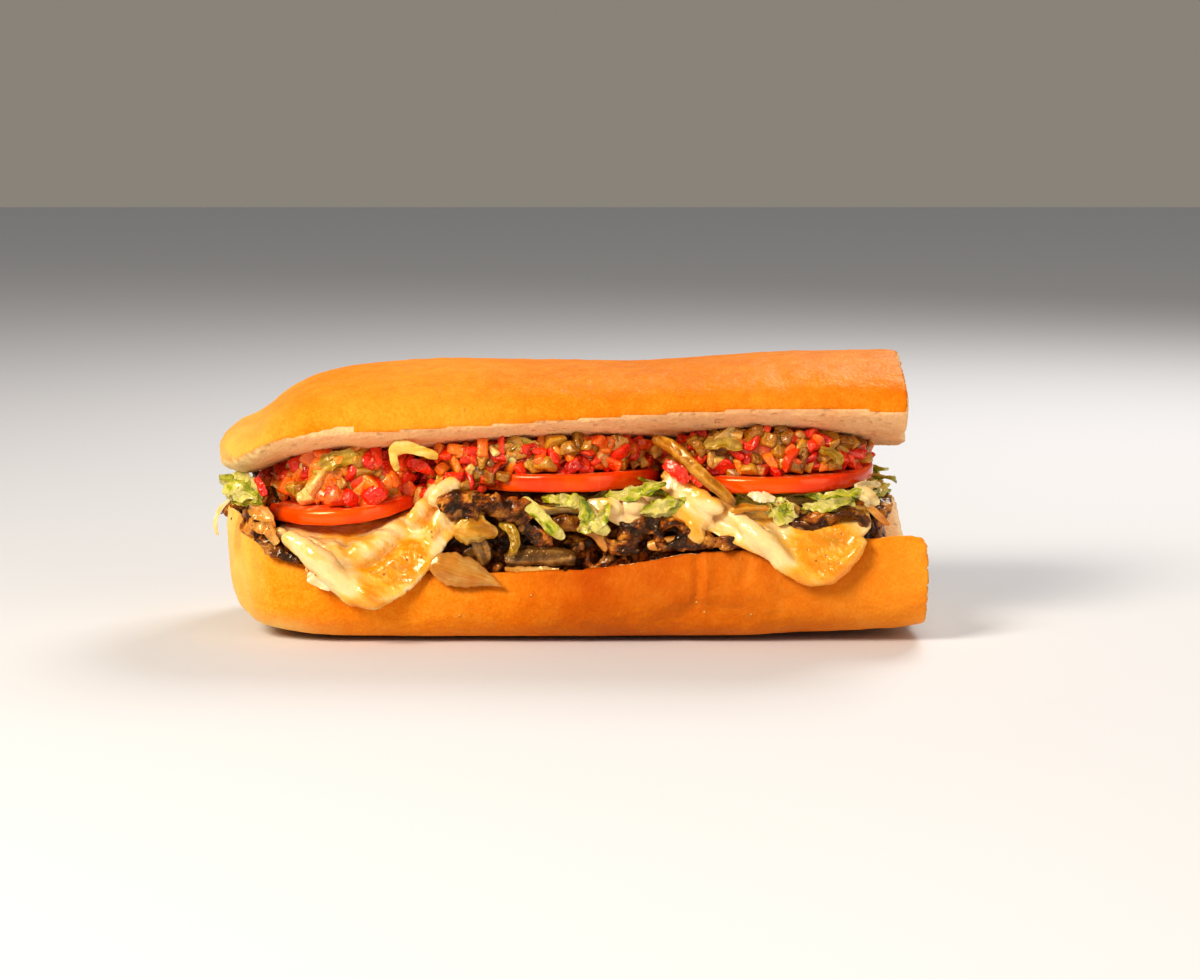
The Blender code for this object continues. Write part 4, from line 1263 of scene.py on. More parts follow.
@dataclass
class PepperRelish:
    """Chopped peppers and tomato heaped on the slices, over a dark wet core."""

    node: str = "pepper_relish"
    spacing: float = 2.9 * MM
    core_depth: float = 2.8 * MM
    tomato: BVHTree | None = None

    def build(self) -> list[tuple[bpy.types.Object, bpy.types.Material]]:
        """Makes the core and the loose dice of each kind, each with its material."""
        rng = np.random.default_rng(11)
        skin = Skin(self.node)
        self.tomato = Skin("tomato_left").tree("tomato_middle", "tomato_right")
        medleys = {kind: Medley(kind.finish.name, 30 + i) for i, kind in enumerate(Pulp)}
        dice = [Forms.dice(seed) for seed in range(5)]
        for depth, spacing in ((0.0, self.spacing), (2.2 * MM, self.spacing * 1.25)):
            for place, normal in skin.spots(rng, spacing, self.shows):
                side = 0 if place[0] < -0.044 else 1 if place[0] < 0.030 else 2
                shares = np.array([kind.shares[side] for kind in Pulp])
                kind = list(Pulp)[rng.choice(len(shares), p=shares / shares.sum())]
                self.drop(medleys[kind], dice, place - normal * depth, normal, rng)
        made = [(medley.join(), kind.finish.material()) for kind, medley in medleys.items()]
        return [(self.core(), self.juice())] + made

    def shows(self, place: np.ndarray, normal: np.ndarray) -> bool:
        """Whether a place on the heap can be seen, and isn't over the tomato's rim."""
        _, side, _, gap = self.tomato.find_nearest(Vector(place))
        hanging = gap < 2.4 * MM and abs(side.z) < 0.7
        return not hanging and (normal[2] < 0.8 or abs(place[1]) > 0.020 or abs(place[0]) > 0.076)

    def drop(
        self, medley: Medley, dice: list[Shape], place: np.ndarray, normal: np.ndarray, rng: np.random.Generator
    ) -> None:
        """Lays one bit on the heap.

        Args:
            medley: The kind's joined piece.
            dice: Forms to pick from.
            place: A place on the heap's outside.
            normal: The direction out of the heap there.
            rng: Source of chance.
        """
        chunk = 1.45 if place[0] < -0.044 else 1.05
        length = rng.uniform(3.0, 6.6) * MM * chunk
        size = (length, length * rng.uniform(0.55, 1.0), rng.uniform(1.8, 3.4) * MM * chunk)
        turn = leaning(normal, rng, 1.6)
        middle = place - normal * (0.46 * max(size[2], size[1] * 0.8))
        if place[1] < -0.022:
            middle[1] += 1.6 * MM
        bend = rng.uniform(-60, 60)
        medley.add(
            dice[rng.integers(len(dice))],
            middle,
            turn,
            size,
            warp=lambda p: p + np.stack([0 * p[:, 0], 0 * p[:, 0], bend * p[:, 0] ** 2], axis=1),
            ragged=0.35 * MM,
        )

    def core(self) -> bpy.types.Object:
        """The wet mass under the loose bits."""
        made = Bench.copy_of(self.node, "relish_core")
        Bench.finish(made, "REMESH", mode="VOXEL", voxel_size=1.2 * MM)
        points, normals = Bench.points(made), Bench.normals(made)
        grain = Grain(12)
        shift = -self.core_depth + 0.9 * MM * grain.layered(points, 0.005)
        Bench.move(made, points + normals * shift[:, None])
        return made

    def juice(self) -> bpy.types.Material:
        """Dark red juice and fine pulp."""
        graph = Graph("relish_juice")
        lumps = graph.noise(0.0035, 3.0)
        shade = graph.ramp(lumps, ((0.34, tone(120, 26, 0)), (0.5, tone(196, 60, 4)), (0.66, tone(206, 110, 16))))
        graph.set(Base_Color=shade, Roughness=graph.span(lumps, 0.3, 0.7, 0.15, 0.4))
        graph.relief((lumps, 0.0012), (graph.noise(0.001), 0.0003))
        graph.glow_through(0.3, (1.0, 0.3, 0.1), 0.003)
        graph.wet(0.5)
        return graph.material


BEEF = (
    Ribbon(((-37, -34.5, 40), (-31, -36, 41), (-24, -35.5, 38.5)), 5.0, 1.8, 0.1, 0.8, 1.4),
    Ribbon(((-36, -35, 37.5), (-31, -36, 38), (-26, -35.5, 36)), 4.0, 1.8, 0.2, 0.6, 1.4),
    Ribbon(((-29, -35, 41), (-23, -36, 40.5), (-17, -35, 38)), 5.0, 1.8, -0.1, 0.8, 1.6),
    Ribbon(((-24, -34.5, 37), (-19, -35.5, 37.5), (-13, -34.5, 35)), 4.5, 1.8, 0.1, 0.8, 1.6),
    Ribbon(((-20, -34, 40), (-14, -35, 39.5), (-9, -34, 37)), 4.0, 1.6, 0.1, 0.8, 1.5),
    Ribbon(((-14, -33, 33), (-9, -34.5, 30), (-5, -33.5, 27)), 5.5, 2.0, 0.15, 0.8, 1.4),
    Ribbon(((-6, -32, 34), (-1, -33, 33.5), (4, -32, 36)), 4.5, 2.0, -0.15, 0.8, 1.5),
    Ribbon(((13, -33.5, 32), (17, -35, 32), (21, -34, 30)), 5.0, 2.0, 0.15, 1.0, 1.4),
    Ribbon(((10, -34, 26.5), (15, -35.5, 27.5), (20, -34.5, 26)), 4.5, 2.0, 0.1, 0.8, 1.4),
    Ribbon(((18, -34, 33), (23, -35, 34), (29, -34, 33)), 5.0, 1.8, 0.1, 0.8, 1.5),
    Ribbon(((25, -35.5, 28.5), (26, -36, 33), (29, -36.5, 34.6), (31.8, -36, 32), (31, -35.8, 29)), 5.0, 1.7, 0.1, 0.4, 0.9, 90),
    Ribbon(((30, -35, 30.5), (35, -36, 31), (39, -35.5, 29)), 5.0, 2.0, 0.1, 0.8, 1.5),
    Ribbon(((24, -36, 27.5), (31, -37, 28.3), (38, -37, 28.2)), 3.4, 1.8, 0.1, 0.6, 1.2),
    Ribbon(((38, -37, 29.0), (45, -38, 29), (52, -37.5, 28.2)), 3.6, 1.8, 0.1, 0.6, 1.2),
    Ribbon(((62, -35, 35), (68, -36.3, 35.8), (75, -35.5, 34.8)), 4.6, 1.8, 0.1, 0.8, 1.4),
    Ribbon(((60, -35.5, 33), (66, -37, 33), (72, -36.5, 32.6)), 3.6, 1.8, 0.1, 0.8, 1.4),
    Ribbon(((70, -35, 33), (74, -37, 36.5), (79, -37.5, 37.5), (82.4, -36.5, 34.6), (80, -36.5, 32.4)), 5.4, 1.8, 0.1, 0.4, 0.9, 80),
    Ribbon(((-93, -25, 36), (-89, -30, 36.5), (-84, -33, 35.5)), 5.0, 1.6, 0.1, 1.2, 1.5),
    Ribbon(((-92, -28, 32.5), (-87, -33, 31.5), (-83, -36, 29.5)), 4.5, 1.8, 0.1, 1.0, 1.6),
    Ribbon(((-88, -33.5, 29.5), (-82, -37, 26.8), (-75, -38.5, 23.8)), 3.4, 1.6, 0.1, 0.6, 1.2),
)


@dataclass
class SteakHeap:
    """Thin torn beef, curled, heaped and cooked together into one ragged mass."""

    node: str = "steak_heap"
    spacing: float = 5.2 * MM
    core_depth: float = 3.2 * MM
    voxel: float = 0.86 * MM
    curls: tuple[Ribbon, ...] = BEEF

    def build(self) -> bpy.types.Object:
        """Makes the core, lays the torn pieces and curls on it, and melts them together."""
        rng = np.random.default_rng(41)
        medley = Medley("steak_shreds", 42)
        flake, strip = Forms.sheet(8, 5, 0.2), Forms.sheet(22, 6, 1.0)
        skin = Skin(self.node)
        for depth, spacing in ((0.6 * MM, self.spacing), (2.4 * MM, self.spacing * 1.4)):
            for place, normal in skin.spots(rng, spacing, self.shows):
                place[0] -= 6.0 * MM * float(ease(np.array(place[0]), 0.078, 0.092))
                place[0] += 4.5 * MM * float(ease(np.array(-place[0]), 0.088, 0.096))
                self.lay(medley, flake, place - normal * depth, normal, rng)
        for ribbon in self.curls:
            medley.lay(strip, ribbon)
        made, shreds = self.core(), medley.join()
        Bench.only(made)
        shreds.select_set(True)
        bpy.ops.object.join()
        Bench.finish(made, "REMESH", mode="VOXEL", voxel_size=self.voxel)
        Bench.finish(made, "SMOOTH", factor=0.5, iterations=2)
        self.grow_fibres(made, medley)
        return made

    def grow_fibres(self, made: bpy.types.Object, medley: Medley) -> None:
        """Roughens the mass along the grain of whichever torn piece lies nearest, and stores that for its finish."""
        points, normals = Bench.points(made), Bench.normals(made)
        corners, own = np.concatenate(medley.points), np.concatenate(medley.own)
        tints = np.concatenate(medley.tints)
        tree = KDTree(len(corners))
        for index, corner in enumerate(corners):
            tree.insert(corner, index)
        tree.balance()
        nearest = np.array([tree.find(point)[1] for point in points])
        local = own[nearest] + (points - corners[nearest])
        grain = Grain(44)
        fibre = grain.layered(local / np.array([4.0, 1.0, 1.0]), 0.0024, 2)
        lumps = grain.layered(points, 0.0050, 2)
        Bench.move(made, points + normals * (0.45 * MM * fibre + 0.45 * MM * lumps)[:, None])
        layer = made.data.attributes.new("own", "FLOAT_VECTOR", "POINT")
        layer.data.foreach_set("vector", local.ravel())
        Bench.paint(made, "tint", tints[nearest])
        # Stores how far each point is pushed out; the finish paints the hollows darker as shade and the raised rims
        # lighter.
        Bench.paint(made, "edge", ease(fibre + lumps, -1.0, 1.0))

    def shows(self, place: np.ndarray, normal: np.ndarray) -> bool:
        """Whether a place on the heap can be seen beside the bread and cheese."""
        edge = abs(place[1]) > 0.018 or abs(place[0]) > 0.078
        under_the_rim = place[0] < -0.070 and place[1] > 0.022 and place[2] < 0.034
        return edge and normal[2] > -0.75 and not under_the_rim

    def lay(
        self, medley: Medley, flake: Shape, place: np.ndarray, normal: np.ndarray, rng: np.random.Generator
    ) -> None:
        """Lays one torn piece on the heap.

        Args:
            medley: The joined piece.
            flake: The flat form to curl.
            place: A place on the heap's outside.
            normal: The direction out of the heap there.
            rng: Source of chance.
        """
        length = rng.uniform(9.0, 17.0) * MM * (1 - 0.45 * float(ease(np.array(place[0]), 0.070, 0.080)))
        size = (length, rng.uniform(4.5, 9.0) * MM, rng.uniform(9.0, 14.0) * MM)
        curl, cup = rng.uniform(20, 110) * rng.choice((-1, 1)), rng.uniform(-80, 80)

        def warp(p: np.ndarray) -> np.ndarray:
            """Curls the piece along its length and cups it across."""
            lift = curl * p[:, 0] ** 2 * 0.5 + cup * p[:, 1] ** 2
            taper = 1 - 0.35 * np.abs(p[:, 0] / length * 2) ** 2
            return np.stack([p[:, 0], p[:, 1] * taper, p[:, 2] + lift], axis=1)

        turn = leaning(normal, rng, 1.0)
        medley.add(flake, place - normal * 1.4 * MM, turn, size, warp, ragged=1.5 * MM, ragged_size=4.0 * MM)

    def core(self) -> bpy.types.Object:
        """The mass under the torn pieces."""
        made = Bench.copy_of(self.node, "steak_meat")
        Bench.finish(made, "REMESH", mode="VOXEL", voxel_size=1.4 * MM)
        points, normals = Bench.points(made), Bench.normals(made)
        rough = Grain(43).layered(points, 0.0065)
        shrink = self.core_depth * ease(normals[:, 2], -0.95, -0.4) - 1.3 * MM * rough
        Bench.move(made, points - normals * shrink[:, None])
        return made


@dataclass
class LettuceBed:
    """Shredded lettuce laid between cheese and tomato."""

    node: str = "lettuce_bed"
    spacing: float = 4.6 * MM

    def build(self) -> list[bpy.types.Object]:
        """Makes the core and the shreds round its edge."""
        rng = np.random.default_rng(61)
        medley = Medley("lettuce_shreds", 62)
        strip = Forms.sheet(16, 4, 0.12)
        edges = []
        for place, normal in Skin(self.node).spots(rng, self.spacing, self.shows):
            edges.append(self.lay(medley, strip, place, normal, rng))
        shreds = medley.join()
        Bench.paint(shreds, "edge", np.concatenate(edges))
        return [self.core(), shreds]

    def shows(self, place: np.ndarray, normal: np.ndarray) -> bool:
        """Whether a place lies near the outline of the bed."""
        return abs(place[1]) > 0.020 or place[0] > 0.076

    def lay(
        self, medley: Medley, strip: Shape, place: np.ndarray, normal: np.ndarray, rng: np.random.Generator
    ) -> np.ndarray:
        """Lays one ruffled shred.

        Args:
            medley: The joined piece.
            strip: The flat form to ruffle.
            place: A place on the bed's outside.
            normal: The direction out of the bed there; not used.
            rng: Source of chance.

        Returns:
            How near each point of the shred is to the leaf's edge.
        """
        length, width = rng.uniform(12.0, 22.0) * MM, rng.uniform(3.0, 6.0) * MM
        waves, phase, arc = rng.uniform(1.5, 3.0) * math.tau / length, rng.uniform(0, math.tau), rng.uniform(-14, 14)
        side = rng.choice((-1, 1))

        def warp(p: np.ndarray) -> np.ndarray:
            """Ruffles the shred more towards one edge, and curves it."""
            share = 0.5 + side * p[:, 1] / width
            ruffle = 1.0 * MM * share**2 * np.sin(waves * p[:, 0] + phase)
            fold = 40 * (p[:, 1]) ** 2
            return np.stack([p[:, 0], p[:, 1] + arc * p[:, 0] ** 2, p[:, 2] + ruffle + fold], axis=1)

        inward = np.array([0.0, -np.sign(place[1]), 0.0])
        flat = np.array([0.0, 0.0, 1.0])
        turn = leaning(flat, rng, 0.5, along=Vector((1.0, 0.0, 0.0)))
        middle = np.array([place[0], place[1], place[2]]) + inward * width * 0.5
        medley.add(strip, middle, turn, (length, width, 6 * MM), warp, ragged=0.5 * MM)
        return 0.5 + side * strip.points[:, 1]

    def core(self) -> bpy.types.Object:
        """The shaded leaves under the shreds."""
        made = Bench.copy_of(self.node, "lettuce_core")
        Bench.finish(made, "REMESH", mode="VOXEL", voxel_size=1.0 * MM)
        points, normals = Bench.points(made), Bench.normals(made)
        grain = Grain(63)
        Bench.move(made, points + normals * (-1.0 * MM + 0.4 * MM * grain.layered(points, 0.005))[:, None])
        own = made.data.attributes.new("own", "FLOAT_VECTOR", "POINT")
        own.data.foreach_set("vector", points.ravel())
        Bench.paint(made, "edge", 0.75 + 0.2 * grain.at(points, 0.008))
        return made


class Cut(Enum):
    """The kinds of single slice that lie in the filling."""

    ONION = ("onion", SliceFinish("onion", (tone(178, 104, 30), tone(214, 146, 66), tone(240, 196, 130)), 0.0009, tone(196, 120, 40), 0.45))
    PETAL = ("onion", SliceFinish("onion_petal", (tone(184, 104, 28), tone(200, 130, 54), tone(222, 168, 100)), 0.0005, tone(184, 100, 18), 0.5, 0.00006))
    PALE = ("onion", SliceFinish("onion_pale", (tone(222, 176, 110), tone(240, 212, 160), tone(250, 234, 200)), 0.0009, tone(240, 206, 150), 0.5, 0.0002))
    AMBER = ("onion", SliceFinish("onion_amber", (tone(170, 92, 10), tone(212, 140, 30), tone(240, 194, 104)), 0.0013, tone(236, 170, 60), 0.45))
    MUSHROOM = ("mushroom", SliceFinish("mushroom", (tone(52, 28, 6), tone(108, 72, 28), tone(180, 134, 72)), 0.0014, tone(50, 24, 4), 0.12, 0.0008))
    TAN = ("mushroom", SliceFinish("mushroom_tan", (tone(150, 84, 20), tone(206, 142, 62), tone(236, 190, 124)), 0.0016, tone(150, 76, 16), 0.25))
    PEPPER = ("pepper", SliceFinish("pepper", (tone(112, 66, 2), tone(166, 108, 14), tone(212, 160, 56)), 0.0014, tone(110, 66, 4), 0.35))
    OLIVE = ("pepper", SliceFinish("pepper_olive", (tone(112, 80, 6), tone(162, 126, 26), tone(210, 178, 80)), 0.0012, tone(104, 84, 8), 0.35))
    BANANA = ("pepper", SliceFinish("pepper_pale", (tone(196, 150, 50), tone(232, 196, 100), tone(250, 226, 158)), 0.0016, tone(196, 168, 44), 0.4))
    LEAF = ("lettuce", LeafFinish())

    def __init__(self, slot: str, finish: SliceFinish | LeafFinish) -> None:
        """Keeps the kind's slot and finish."""
        self.slot, self.finish = slot, finish


@dataclass
class Slice:
    """One slice, swept in CAD, thinned and curled into its cooked shape."""

    node: str
    cut: Cut
    thin: float = 0.7
    wide: float = 1.1
    cup: float = 0.0
    frill: float = 0.0
    ruffle: float = 0.30 * MM
    taper: float = 0.0
    uneven: float = 0.10
    nudge: Colour = (0.0, 0.0, 0.0)

    def build(self) -> bpy.types.Object:
        """Makes the slice, and stores its own axes for the finish."""
        made = Bench.copy_of(self.node, f"{self.node}_cut")
        Bench.finish(made, "SUBSURF", levels=3, render_levels=3)
        points = Bench.points(made)
        middle = points.mean(axis=0)
        axes = np.linalg.svd(points - middle, full_matrices=False)[2]
        own = (points - middle) @ axes.T
        half_length, half_width = np.abs(own[:, 0]).max(), np.abs(own[:, 1]).max()
        spine = [np.polyval(np.polyfit(own[:, 0], own[:, i], 3), own[:, 0]) for i in (1, 2)]
        v, w = own[:, 1] - spine[0], own[:, 2] - spine[1]
        edge = np.clip(np.abs(v) / half_width, 0, 1)
        outward = -np.sign(axes[2, 1]) or 1.0
        grain = Grain(sum(map(ord, self.node)) % 97)
        wave = grain.at(np.stack([own[:, 0], 0.3 * v, 0 * v], axis=1), 0.0055)
        shaped = own.copy()
        rightward = own[:, 0] / half_length * (1 if axes[0, 0] > 0 else -1)
        narrow = 1 - self.taper * ease(rightward, -0.3, 1.1)
        narrow *= 1 + self.uneven * grain.layered(np.stack([own[:, 0], 2 * MM * np.sign(v), 0 * v], axis=1), 0.005)
        shaped[:, 1] = spine[0] + v * self.wide * narrow
        shaped[:, 2] = spine[1] + w * self.thin - outward * self.cup * edge**2 + self.frill * wave * edge
        Bench.move(made, shaped @ axes + middle)
        points, normals = Bench.points(made), Bench.normals(made)
        shift = self.ruffle * (grain.at(points, 0.0050) + 0.5 * grain.at(points, 0.0020))
        Bench.move(made, points + normals * shift[:, None] + np.array(self.nudge) * MM)
        layer = made.data.attributes.new("own", "FLOAT_VECTOR", "POINT")
        layer.data.foreach_set("vector", own.ravel())
        ends = ease(np.abs(own[:, 0]) / half_length, 0.85, 1.0)
        Bench.paint(made, "rim", np.maximum(ease(edge, 0.62, 0.95), ends))
        Bench.paint(made, "edge", 0.5 + 0.5 * v / half_width)
        Bench.paint(made, "tint", np.full(len(points), grain.order[7] / 255))
        return made


SLICES = (
    Slice("onion_petal_front", Cut.PETAL, 0.20, 1.30, 1.4 * MM, 0.3 * MM, 0.12 * MM, 0.75, 0.22),
    Slice("onion_slice_amber", Cut.AMBER, 0.30, 1.35, 1.2 * MM, 1.6 * MM, 0.3 * MM, 0.5, 0.35),
    Slice("onion_strip_right", Cut.ONION, 0.6, 1.0, 0.2 * MM, 0.6 * MM, 0.3 * MM, 0.3, 0.3, (0, 3.0, -0.8)),
    Slice("onion_strip_middle", Cut.AMBER, 0.6, 1.1, 0.3 * MM, 0.6 * MM, 0.3 * MM, 0.3, 0.3, (0, 4.8, -0.6)),
    Slice("onion_piece_left", Cut.ONION, 0.8, 1.0, 0.4 * MM),
    Slice("onion_petal_back", Cut.PALE, 0.35, 1.2, 1.2 * MM, 1.2 * MM, 0.3 * MM, 0.4, 0.35),
    Slice("mushroom_slice_left", Cut.MUSHROOM, 0.9, 1.1),
    Slice("mushroom_slice_long", Cut.MUSHROOM, 0.9, 1.0, 0.5 * MM, 0.5 * MM),
    Slice("mushroom_slice_curled", Cut.TAN, 0.8, 1.0, 0.5 * MM),
    Slice("mushroom_slice_right", Cut.TAN, 0.9, 1.1),
    Slice("mushroom_slice_low", Cut.MUSHROOM),
    Slice("mushroom_slice_back", Cut.MUSHROOM),
    Slice("pepper_curl_left", Cut.OLIVE, 0.8),
    Slice("pepper_curl_top", Cut.BANANA, 0.9, 1.25, uneven=0.2, nudge=(0, 1.2, -0.4)),
    Slice("pepper_strip_long", Cut.PEPPER, 0.7, 1.0, 0.6 * MM),
    Slice("pepper_piece_green", Cut.PEPPER),
    Slice("pepper_strip_back", Cut.PEPPER, nudge=(0, -2.8, 0)),
    Slice("lettuce_shred_slanting", Cut.LEAF, 0.35, 1.1, 0.6 * MM, 1.4 * MM, 0.5 * MM),
    Slice("lettuce_shred_middle", Cut.LEAF, 0.35, 1.05, 0.8 * MM, 1.6 * MM, 0.5 * MM),
    Slice("lettuce_leaf_centre", Cut.LEAF, 0.35, 1.15, 0.6 * MM, 2.0 * MM, 0.5 * MM),
    Slice("lettuce_leaf_right", Cut.LEAF, 0.35, 1.05, 0.4 * MM, 1.6 * MM, 0.5 * MM),
    Slice("lettuce_leaf_end", Cut.LEAF, 0.30, 1.3, 0.6 * MM, 2.4 * MM, 0.6 * MM, nudge=(0.8, 0, 0.9)),
)


class Extras:
    """Loose bits that lie on and between the larger pieces, laid one by one along listed lines."""

    leaf = (
        Ribbon(((9, -33, 41), (15, -34.5, 42), (21, -35, 43.5), (27, -34, 45.5)), 3.4, 0.4, 0.10, 1.4, 0.9, 20, 0.8, 0.4),
        Ribbon(((-4, -33.5, 39), (0, -35, 40.5), (5, -34.5, 39.5)), 3.6, 0.4, 0.15, 1.0, 0.8, 20, 0.8, 0.4),
        Ribbon(((20, -35.5, 37.2), (25, -37.2, 39.2), (31, -36.6, 41)), 3.6, 0.4, 0.14, 1.6, 0.9, 15, 0.9, 0.4),
        Ribbon(((55, -36, 38.5), (59, -37.4, 36.8), (63, -36.5, 37)), 4.6, 0.4, 0.10, 2.2, 1.0, 10, 0.7, 0.5),
        Ribbon(((56, -36, 41), (60, -37, 39.5), (63, -37, 36.5)), 3.8, 0.4, 0.10, 2.0, 1.0, 0, 0.7, 0.5),
        Ribbon(((65, -34.5, 38.8), (71, -36.5, 39.2), (79, -35, 41.0)), 3.4, 0.4, 0.12, 1.2, 0.8, 15, 0.8, 0.4),
        Ribbon(((66, -33, 41.5), (74, -34.5, 41.8), (82, -33, 43.0)), 3.0, 0.4, 0.12, 1.0, 0.8, 30, 0.8, 0.4),
        Ribbon(((-98, -27, 44.5), (-94, -31, 43.4), (-87, -33, 42)), 6.0, 0.4, 0.10, 2.4, 1.1, 10, 0.7, 0.5),
        Ribbon(((-97, -24, 41), (-92, -30, 40.6), (-86, -33, 39.6)), 4.4, 0.4, 0.10, 1.8, 1.0, 20, 0.7, 0.5),
        Ribbon(((-8, -33.5, 41), (-3, -34.5, 40.5), (2, -33.5, 38.5)), 3.4, 0.4, 0.15, 1.0, 0.8, 20, 0.8, 0.4),
        Ribbon(((2.5, -36, 32), (5, -37.5, 35.5), (3.2, -36.5, 41)), 3.4, 0.4, 0.20, 1.0, 0.8, 0, 0.8, 0.4),
        Ribbon(((5, -37, 32), (8.5, -38, 35.5), (10.8, -36.5, 40)), 2.8, 0.4, 0.20, 1.0, 0.8, 0, 0.8, 0.4),
        Ribbon(((30, 31, 40), (40, 35, 40), (52, 34, 41)), 6.0, 0.4, 0.10, 1.8, 0.9, 160, 0.7, 0.4),
        Ribbon(((0, 31, 38), (8, 35, 38.5), (18, 34, 40)), 6.0, 0.4, 0.10, 1.8, 0.9, 160, 0.7, 0.4),
        Ribbon(((84, -22, 42), (88, -16, 41), (87, -6, 42)), 5.0, 0.4, 0.10, 1.8, 0.9, 40, 0.7, 0.4),
        Ribbon(((84, 4, 42), (88, 12, 40.5), (87, 22, 41.5)), 6.0, 0.4, 0.10, 1.8, 0.9, 40, 0.7, 0.4),
    )
    pale = (
        Ribbon(((-95, -30, 41.5), (-98, -32.5, 38), (-99.6, -33.5, 34), (-98.8, -34, 30.5)), 1.2, 0.9, 0.0, 0.2, 0.3),
        Ribbon(((-72.5, -42.4, 21.5), (-71, -43, 19.2), (-66.5, -43, 17.0)), 2.6, 0.8, 0.1, 0.3, 0.4, 0, 0.6, 0.3),
        Ribbon(((80, -32.5, 43.6), (83.5, -33, 41.5), (85.5, -31.5, 38.5)), 4.2, 0.8, 0.15, 0.5, 0.5, 10, 0.5, 0.3),
        Ribbon(((80.5, -28, 44.0), (84.5, -24.5, 43.4), (88, -20.5, 43.2)), 2.6, 0.8, 0.1, 0.5, 0.5, 20, 0.6, 0.3),
        Ribbon(((50, -35.5, 42.4), (53.5, -36.5, 41.6), (57, -36, 41)), 2.6, 0.8, 0.1, 0.5, 0.5, 10, 0.6, 0.3),
    )
    red = (
        Ribbon(((26.5, -33, 51), (30, -35, 48.5), (32.5, -35, 46.0)), 3.8, 2.0, 0.1, 0.3, 0.5, 10, 0.4, 0.2),
        Ribbon(((31, -32.5, 50), (34.5, -34.5, 47.6), (37, -35, 44.6)), 3.2, 2.0, 0.1, 0.3, 0.5, 10, 0.4, 0.2),
        Ribbon(((-88, -30, 46), (-86.5, -32, 43.8), (-85.4, -33, 41.6)), 2.4, 1.6, 0.1, 0.3, 0.4, 10, 0.4, 0.2),
        Ribbon(((-46, -26.5, 50), (-42.5, -25.5, 49), (-39, -28.0, 47.5)), 3.0, 2.6, 0.1, 0.3, 0.6, 10, 0.4, 0.2),
    )
    olive = (
        Ribbon(((-72, -29.5, 48), (-66, -31, 51.5), (-59, -30.5, 52)), 4.6, 1.4, 0.15, 0.5, 0.7, 20, 0.5, 0.3),
        Ribbon(((38, -30, 55), (43, -31, 56), (48, -30, 55)), 3.0, 1.4, 0.15, 0.5, 0.6, 20, 0.5, 0.3),
        Ribbon(((70, -30, 54), (74, -31.5, 53), (76, -31, 50.5)), 3.0, 1.4, 0.15, 0.5, 0.6, 20, 0.5, 0.3),
        Ribbon(((-18, -29.5, 55), (-13, -31, 56), (-9, -30, 55)), 2.8, 1.4, 0.15, 0.5, 0.6, 20, 0.5, 0.3),
    )
    onion = (
        Ribbon(((-90, -31, 38), (-86, -34, 36.5), (-83, -35.5, 33)), 4.0, 1.0, 0.15, 0.8, 0.8),
        Ribbon(((-18, -35.6, 20.8), (-11, -35.4, 20.4), (-3, -35.2, 21.0)), 2.4, 1.0, 0.1, 0.3, 0.5, 40, 0.6, 0.4),
        Ribbon(((-88, -34, 33), (-84.5, -36, 32.5), (-82, -37.5, 29)), 3.4, 1.0, 0.15, 0.6, 0.8),
        Ribbon(((-40, 34, 36), (-31, 37, 36.5), (-22, 35, 35)), 5.0, 0.8, 0.22, 1.0, 0.8, 180, 0.8, 0.4),
        Ribbon(((60, 31, 42.5), (67, 34.5, 43), (76, 31, 42)), 4.4, 0.8, 0.22, 1.0, 0.8, 180, 0.8, 0.4),
    )

    def build(self) -> list[tuple[bpy.types.Object, str]]:
        """Makes one piece of each kind, each with its slot."""
        strip = Forms.sheet(22, 6, 1.0)
        pieces = []
        for name, kind, ribbons in (
            ("lettuce_bits", "lettuce", self.leaf),
            ("onion_bits", "onion", self.onion),
            ("onion_threads", "pale", self.pale),
            ("pepper_red_bits", "red", self.red),
            ("pepper_olive_bits", "olive", self.olive),
        ):
            medley = Medley(name, 70 + len(name))
            for ribbon in ribbons:
                medley.lay(strip, ribbon)
            pieces.append((medley.join(smooth=math.radians(60)), kind))
        return pieces


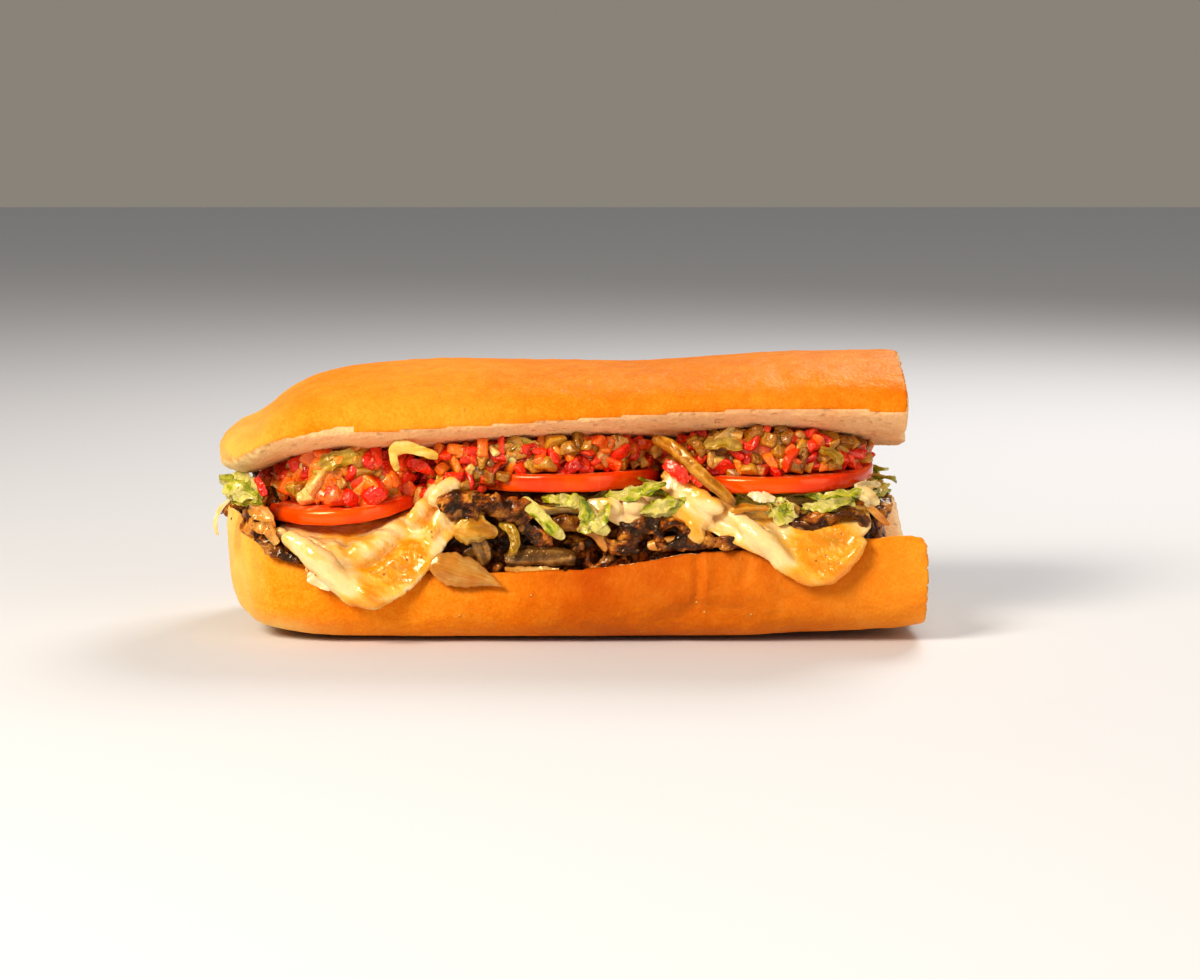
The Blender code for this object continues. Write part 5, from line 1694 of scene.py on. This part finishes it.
@dataclass(frozen=True)
class Studio:
    """Pale floor, soft lights and the camera."""

    aim: Colour = (0.0076, -0.0360, 0.0435)
    distance: float = 0.793
    rise: float = math.radians(8.0)
    lens: float = 85.0

    def build(self, corner: Vector, middle: float) -> None:
        """Sets the studio up.

        Args:
            corner: Place of the lower half's cut end and front side, from which the camera is set out.
            middle: Height of the middle of the sandwich; not used.
        """
        self.floor()
        self.lights()
        self.camera(corner)

    def floor(self) -> None:
        """A plain pale floor."""
        bpy.ops.mesh.primitive_grid_add(x_subdivisions=8, y_subdivisions=8, size=6.0, location=(0, 0, -0.0002))
        floor = Bench.primitive("floor")
        graph = Graph("floor")
        graph.set(Base_Color=(0.70, 0.745, 0.86, 1.0), Roughness=0.7)
        Bench.dress(floor, graph.material, smooth=False)

    def lights(self) -> None:
        """A large warm light from the upper left, a fill from the right and a pale sky."""
        world = bpy.data.worlds.new("studio")
        bpy.context.scene.world = world
        world.use_nodes = True
        sky = world.node_tree.nodes["Background"]
        sky.inputs["Color"].default_value = (1.0, 0.92, 0.80, 1.0)
        sky.inputs["Strength"].default_value = 0.24
        for name, place, size, power, colour in (
            ("key", (-0.62, -0.72, 0.70), 0.40, 13.0, (1.0, 0.86, 0.66)),
            ("fill", (0.80, -0.80, 0.35), 0.70, 2.6, (1.0, 0.90, 0.76)),
            ("rim", (0.35, 0.60, 0.70), 0.40, 4.5, (1.0, 0.92, 0.80)),
        ):
            light = bpy.data.lights.new(name, "AREA")
            light.size, light.energy, light.color = size, power, colour
            lamp = bpy.data.objects.new(name, light)
            bpy.context.scene.collection.objects.link(lamp)
            lamp.location = place
            lamp.rotation_euler = (Vector((0, 0, 0.04)) - lamp.location).to_track_quat("-Z", "Y").to_euler()

    def camera(self, corner: Vector) -> None:
        """A level camera a little above the table, looking at the open side."""
        aim = Vector(self.aim) + Vector((corner[0], corner[1], 0.0))
        lens = bpy.data.cameras.new("camera")
        lens.lens, lens.sensor_width = self.lens, 36.0
        camera = bpy.data.objects.new("camera", lens)
        bpy.context.scene.collection.objects.link(camera)
        camera.location = aim + self.distance * Vector((0, -math.cos(self.rise), math.sin(self.rise)))
        camera.rotation_euler = (aim - camera.location).to_track_quat("-Z", "Y").to_euler()
        bpy.context.scene.camera = camera


def report(made: bpy.types.Object, slot: str, *replaced: str) -> None:
    """Hands a finished piece to the frame and logs its size.

    Args:
        made: The piece.
        slot: The record's material slot for the piece; not used.
        replaced: The CAD nodes that it stands for.
    """
    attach(made, "root")
    if replaced:
        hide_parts(*replaced)
    LOG.info("%s: %d points", made.name, len(made.data.vertices))


def main() -> None:
    """Builds the sandwich around its frame."""
    logging.basicConfig(level=logging.INFO, format="%(message)s")
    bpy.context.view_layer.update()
    bpy.context.scene.view_settings.view_transform = "Standard"
    bpy.context.scene.view_settings.look = "Medium High Contrast"
    low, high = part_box("lower_roll")
    Studio().build(Vector((high[0] - 0.0998, low[1] + 0.042, 0.0)), (low[2] + high[2]) / 2)
    bread = BreadFinish().material()
    for half in (
        RollHalf("lower_roll", False, LOWER_FOLDS, 3),
        RollHalf("upper_roll", True, UPPER_FOLDS, 5),
    ):
        made = half.build()
        Bench.dress(made, bread)
        report(made, "crust", half.node)
    tomato = TomatoFinish().material()
    for node in ("tomato_left", "tomato_middle", "tomato_right"):
        made = TomatoSlice(node).build()
        Bench.dress(made, tomato)
        report(made, "tomato", node)
    cheese = MeltedCheese()
    made = cheese.build()
    Bench.dress(made, CheeseFinish().material())
    report(made, "cheese", cheese.node)
    relish = PepperRelish()
    for made, material in relish.build():
        Bench.dress(made, material)
        report(made, "relish", *([relish.node] if made.name == "relish_core" else []))
    heap = SteakHeap()
    beef = SteakFinish().material()
    made = heap.build()
    Bench.dress(made, beef)
    report(made, "steak", heap.node)
    bed = LettuceBed()
    leaf = Cut.LEAF.finish.material()
    for made in bed.build():
        Bench.dress(made, leaf)
        report(made, "lettuce", *([bed.node] if made.name == "lettuce_core" else []))
    finishes = {cut: cut.finish.material() if cut is not Cut.LEAF else leaf for cut in Cut}
    loose = {
        "lettuce": ("lettuce", leaf),
        "onion": ("onion", finishes[Cut.ONION]),
        "pale": ("onion", finishes[Cut.PALE]),
        "red": ("relish", Pulp.RED.finish.material()),
        "olive": ("pepper", finishes[Cut.OLIVE]),
    }
    for made, kind in Extras().build():
        slot, material = loose[kind]
        Bench.dress(made, material)
        report(made, slot)
    for item in SLICES:
        made = item.build()
        Bench.dress(made, finishes[item.cut])
        report(made, item.cut.slot, item.node)


if __name__ == "__main__":
    main()
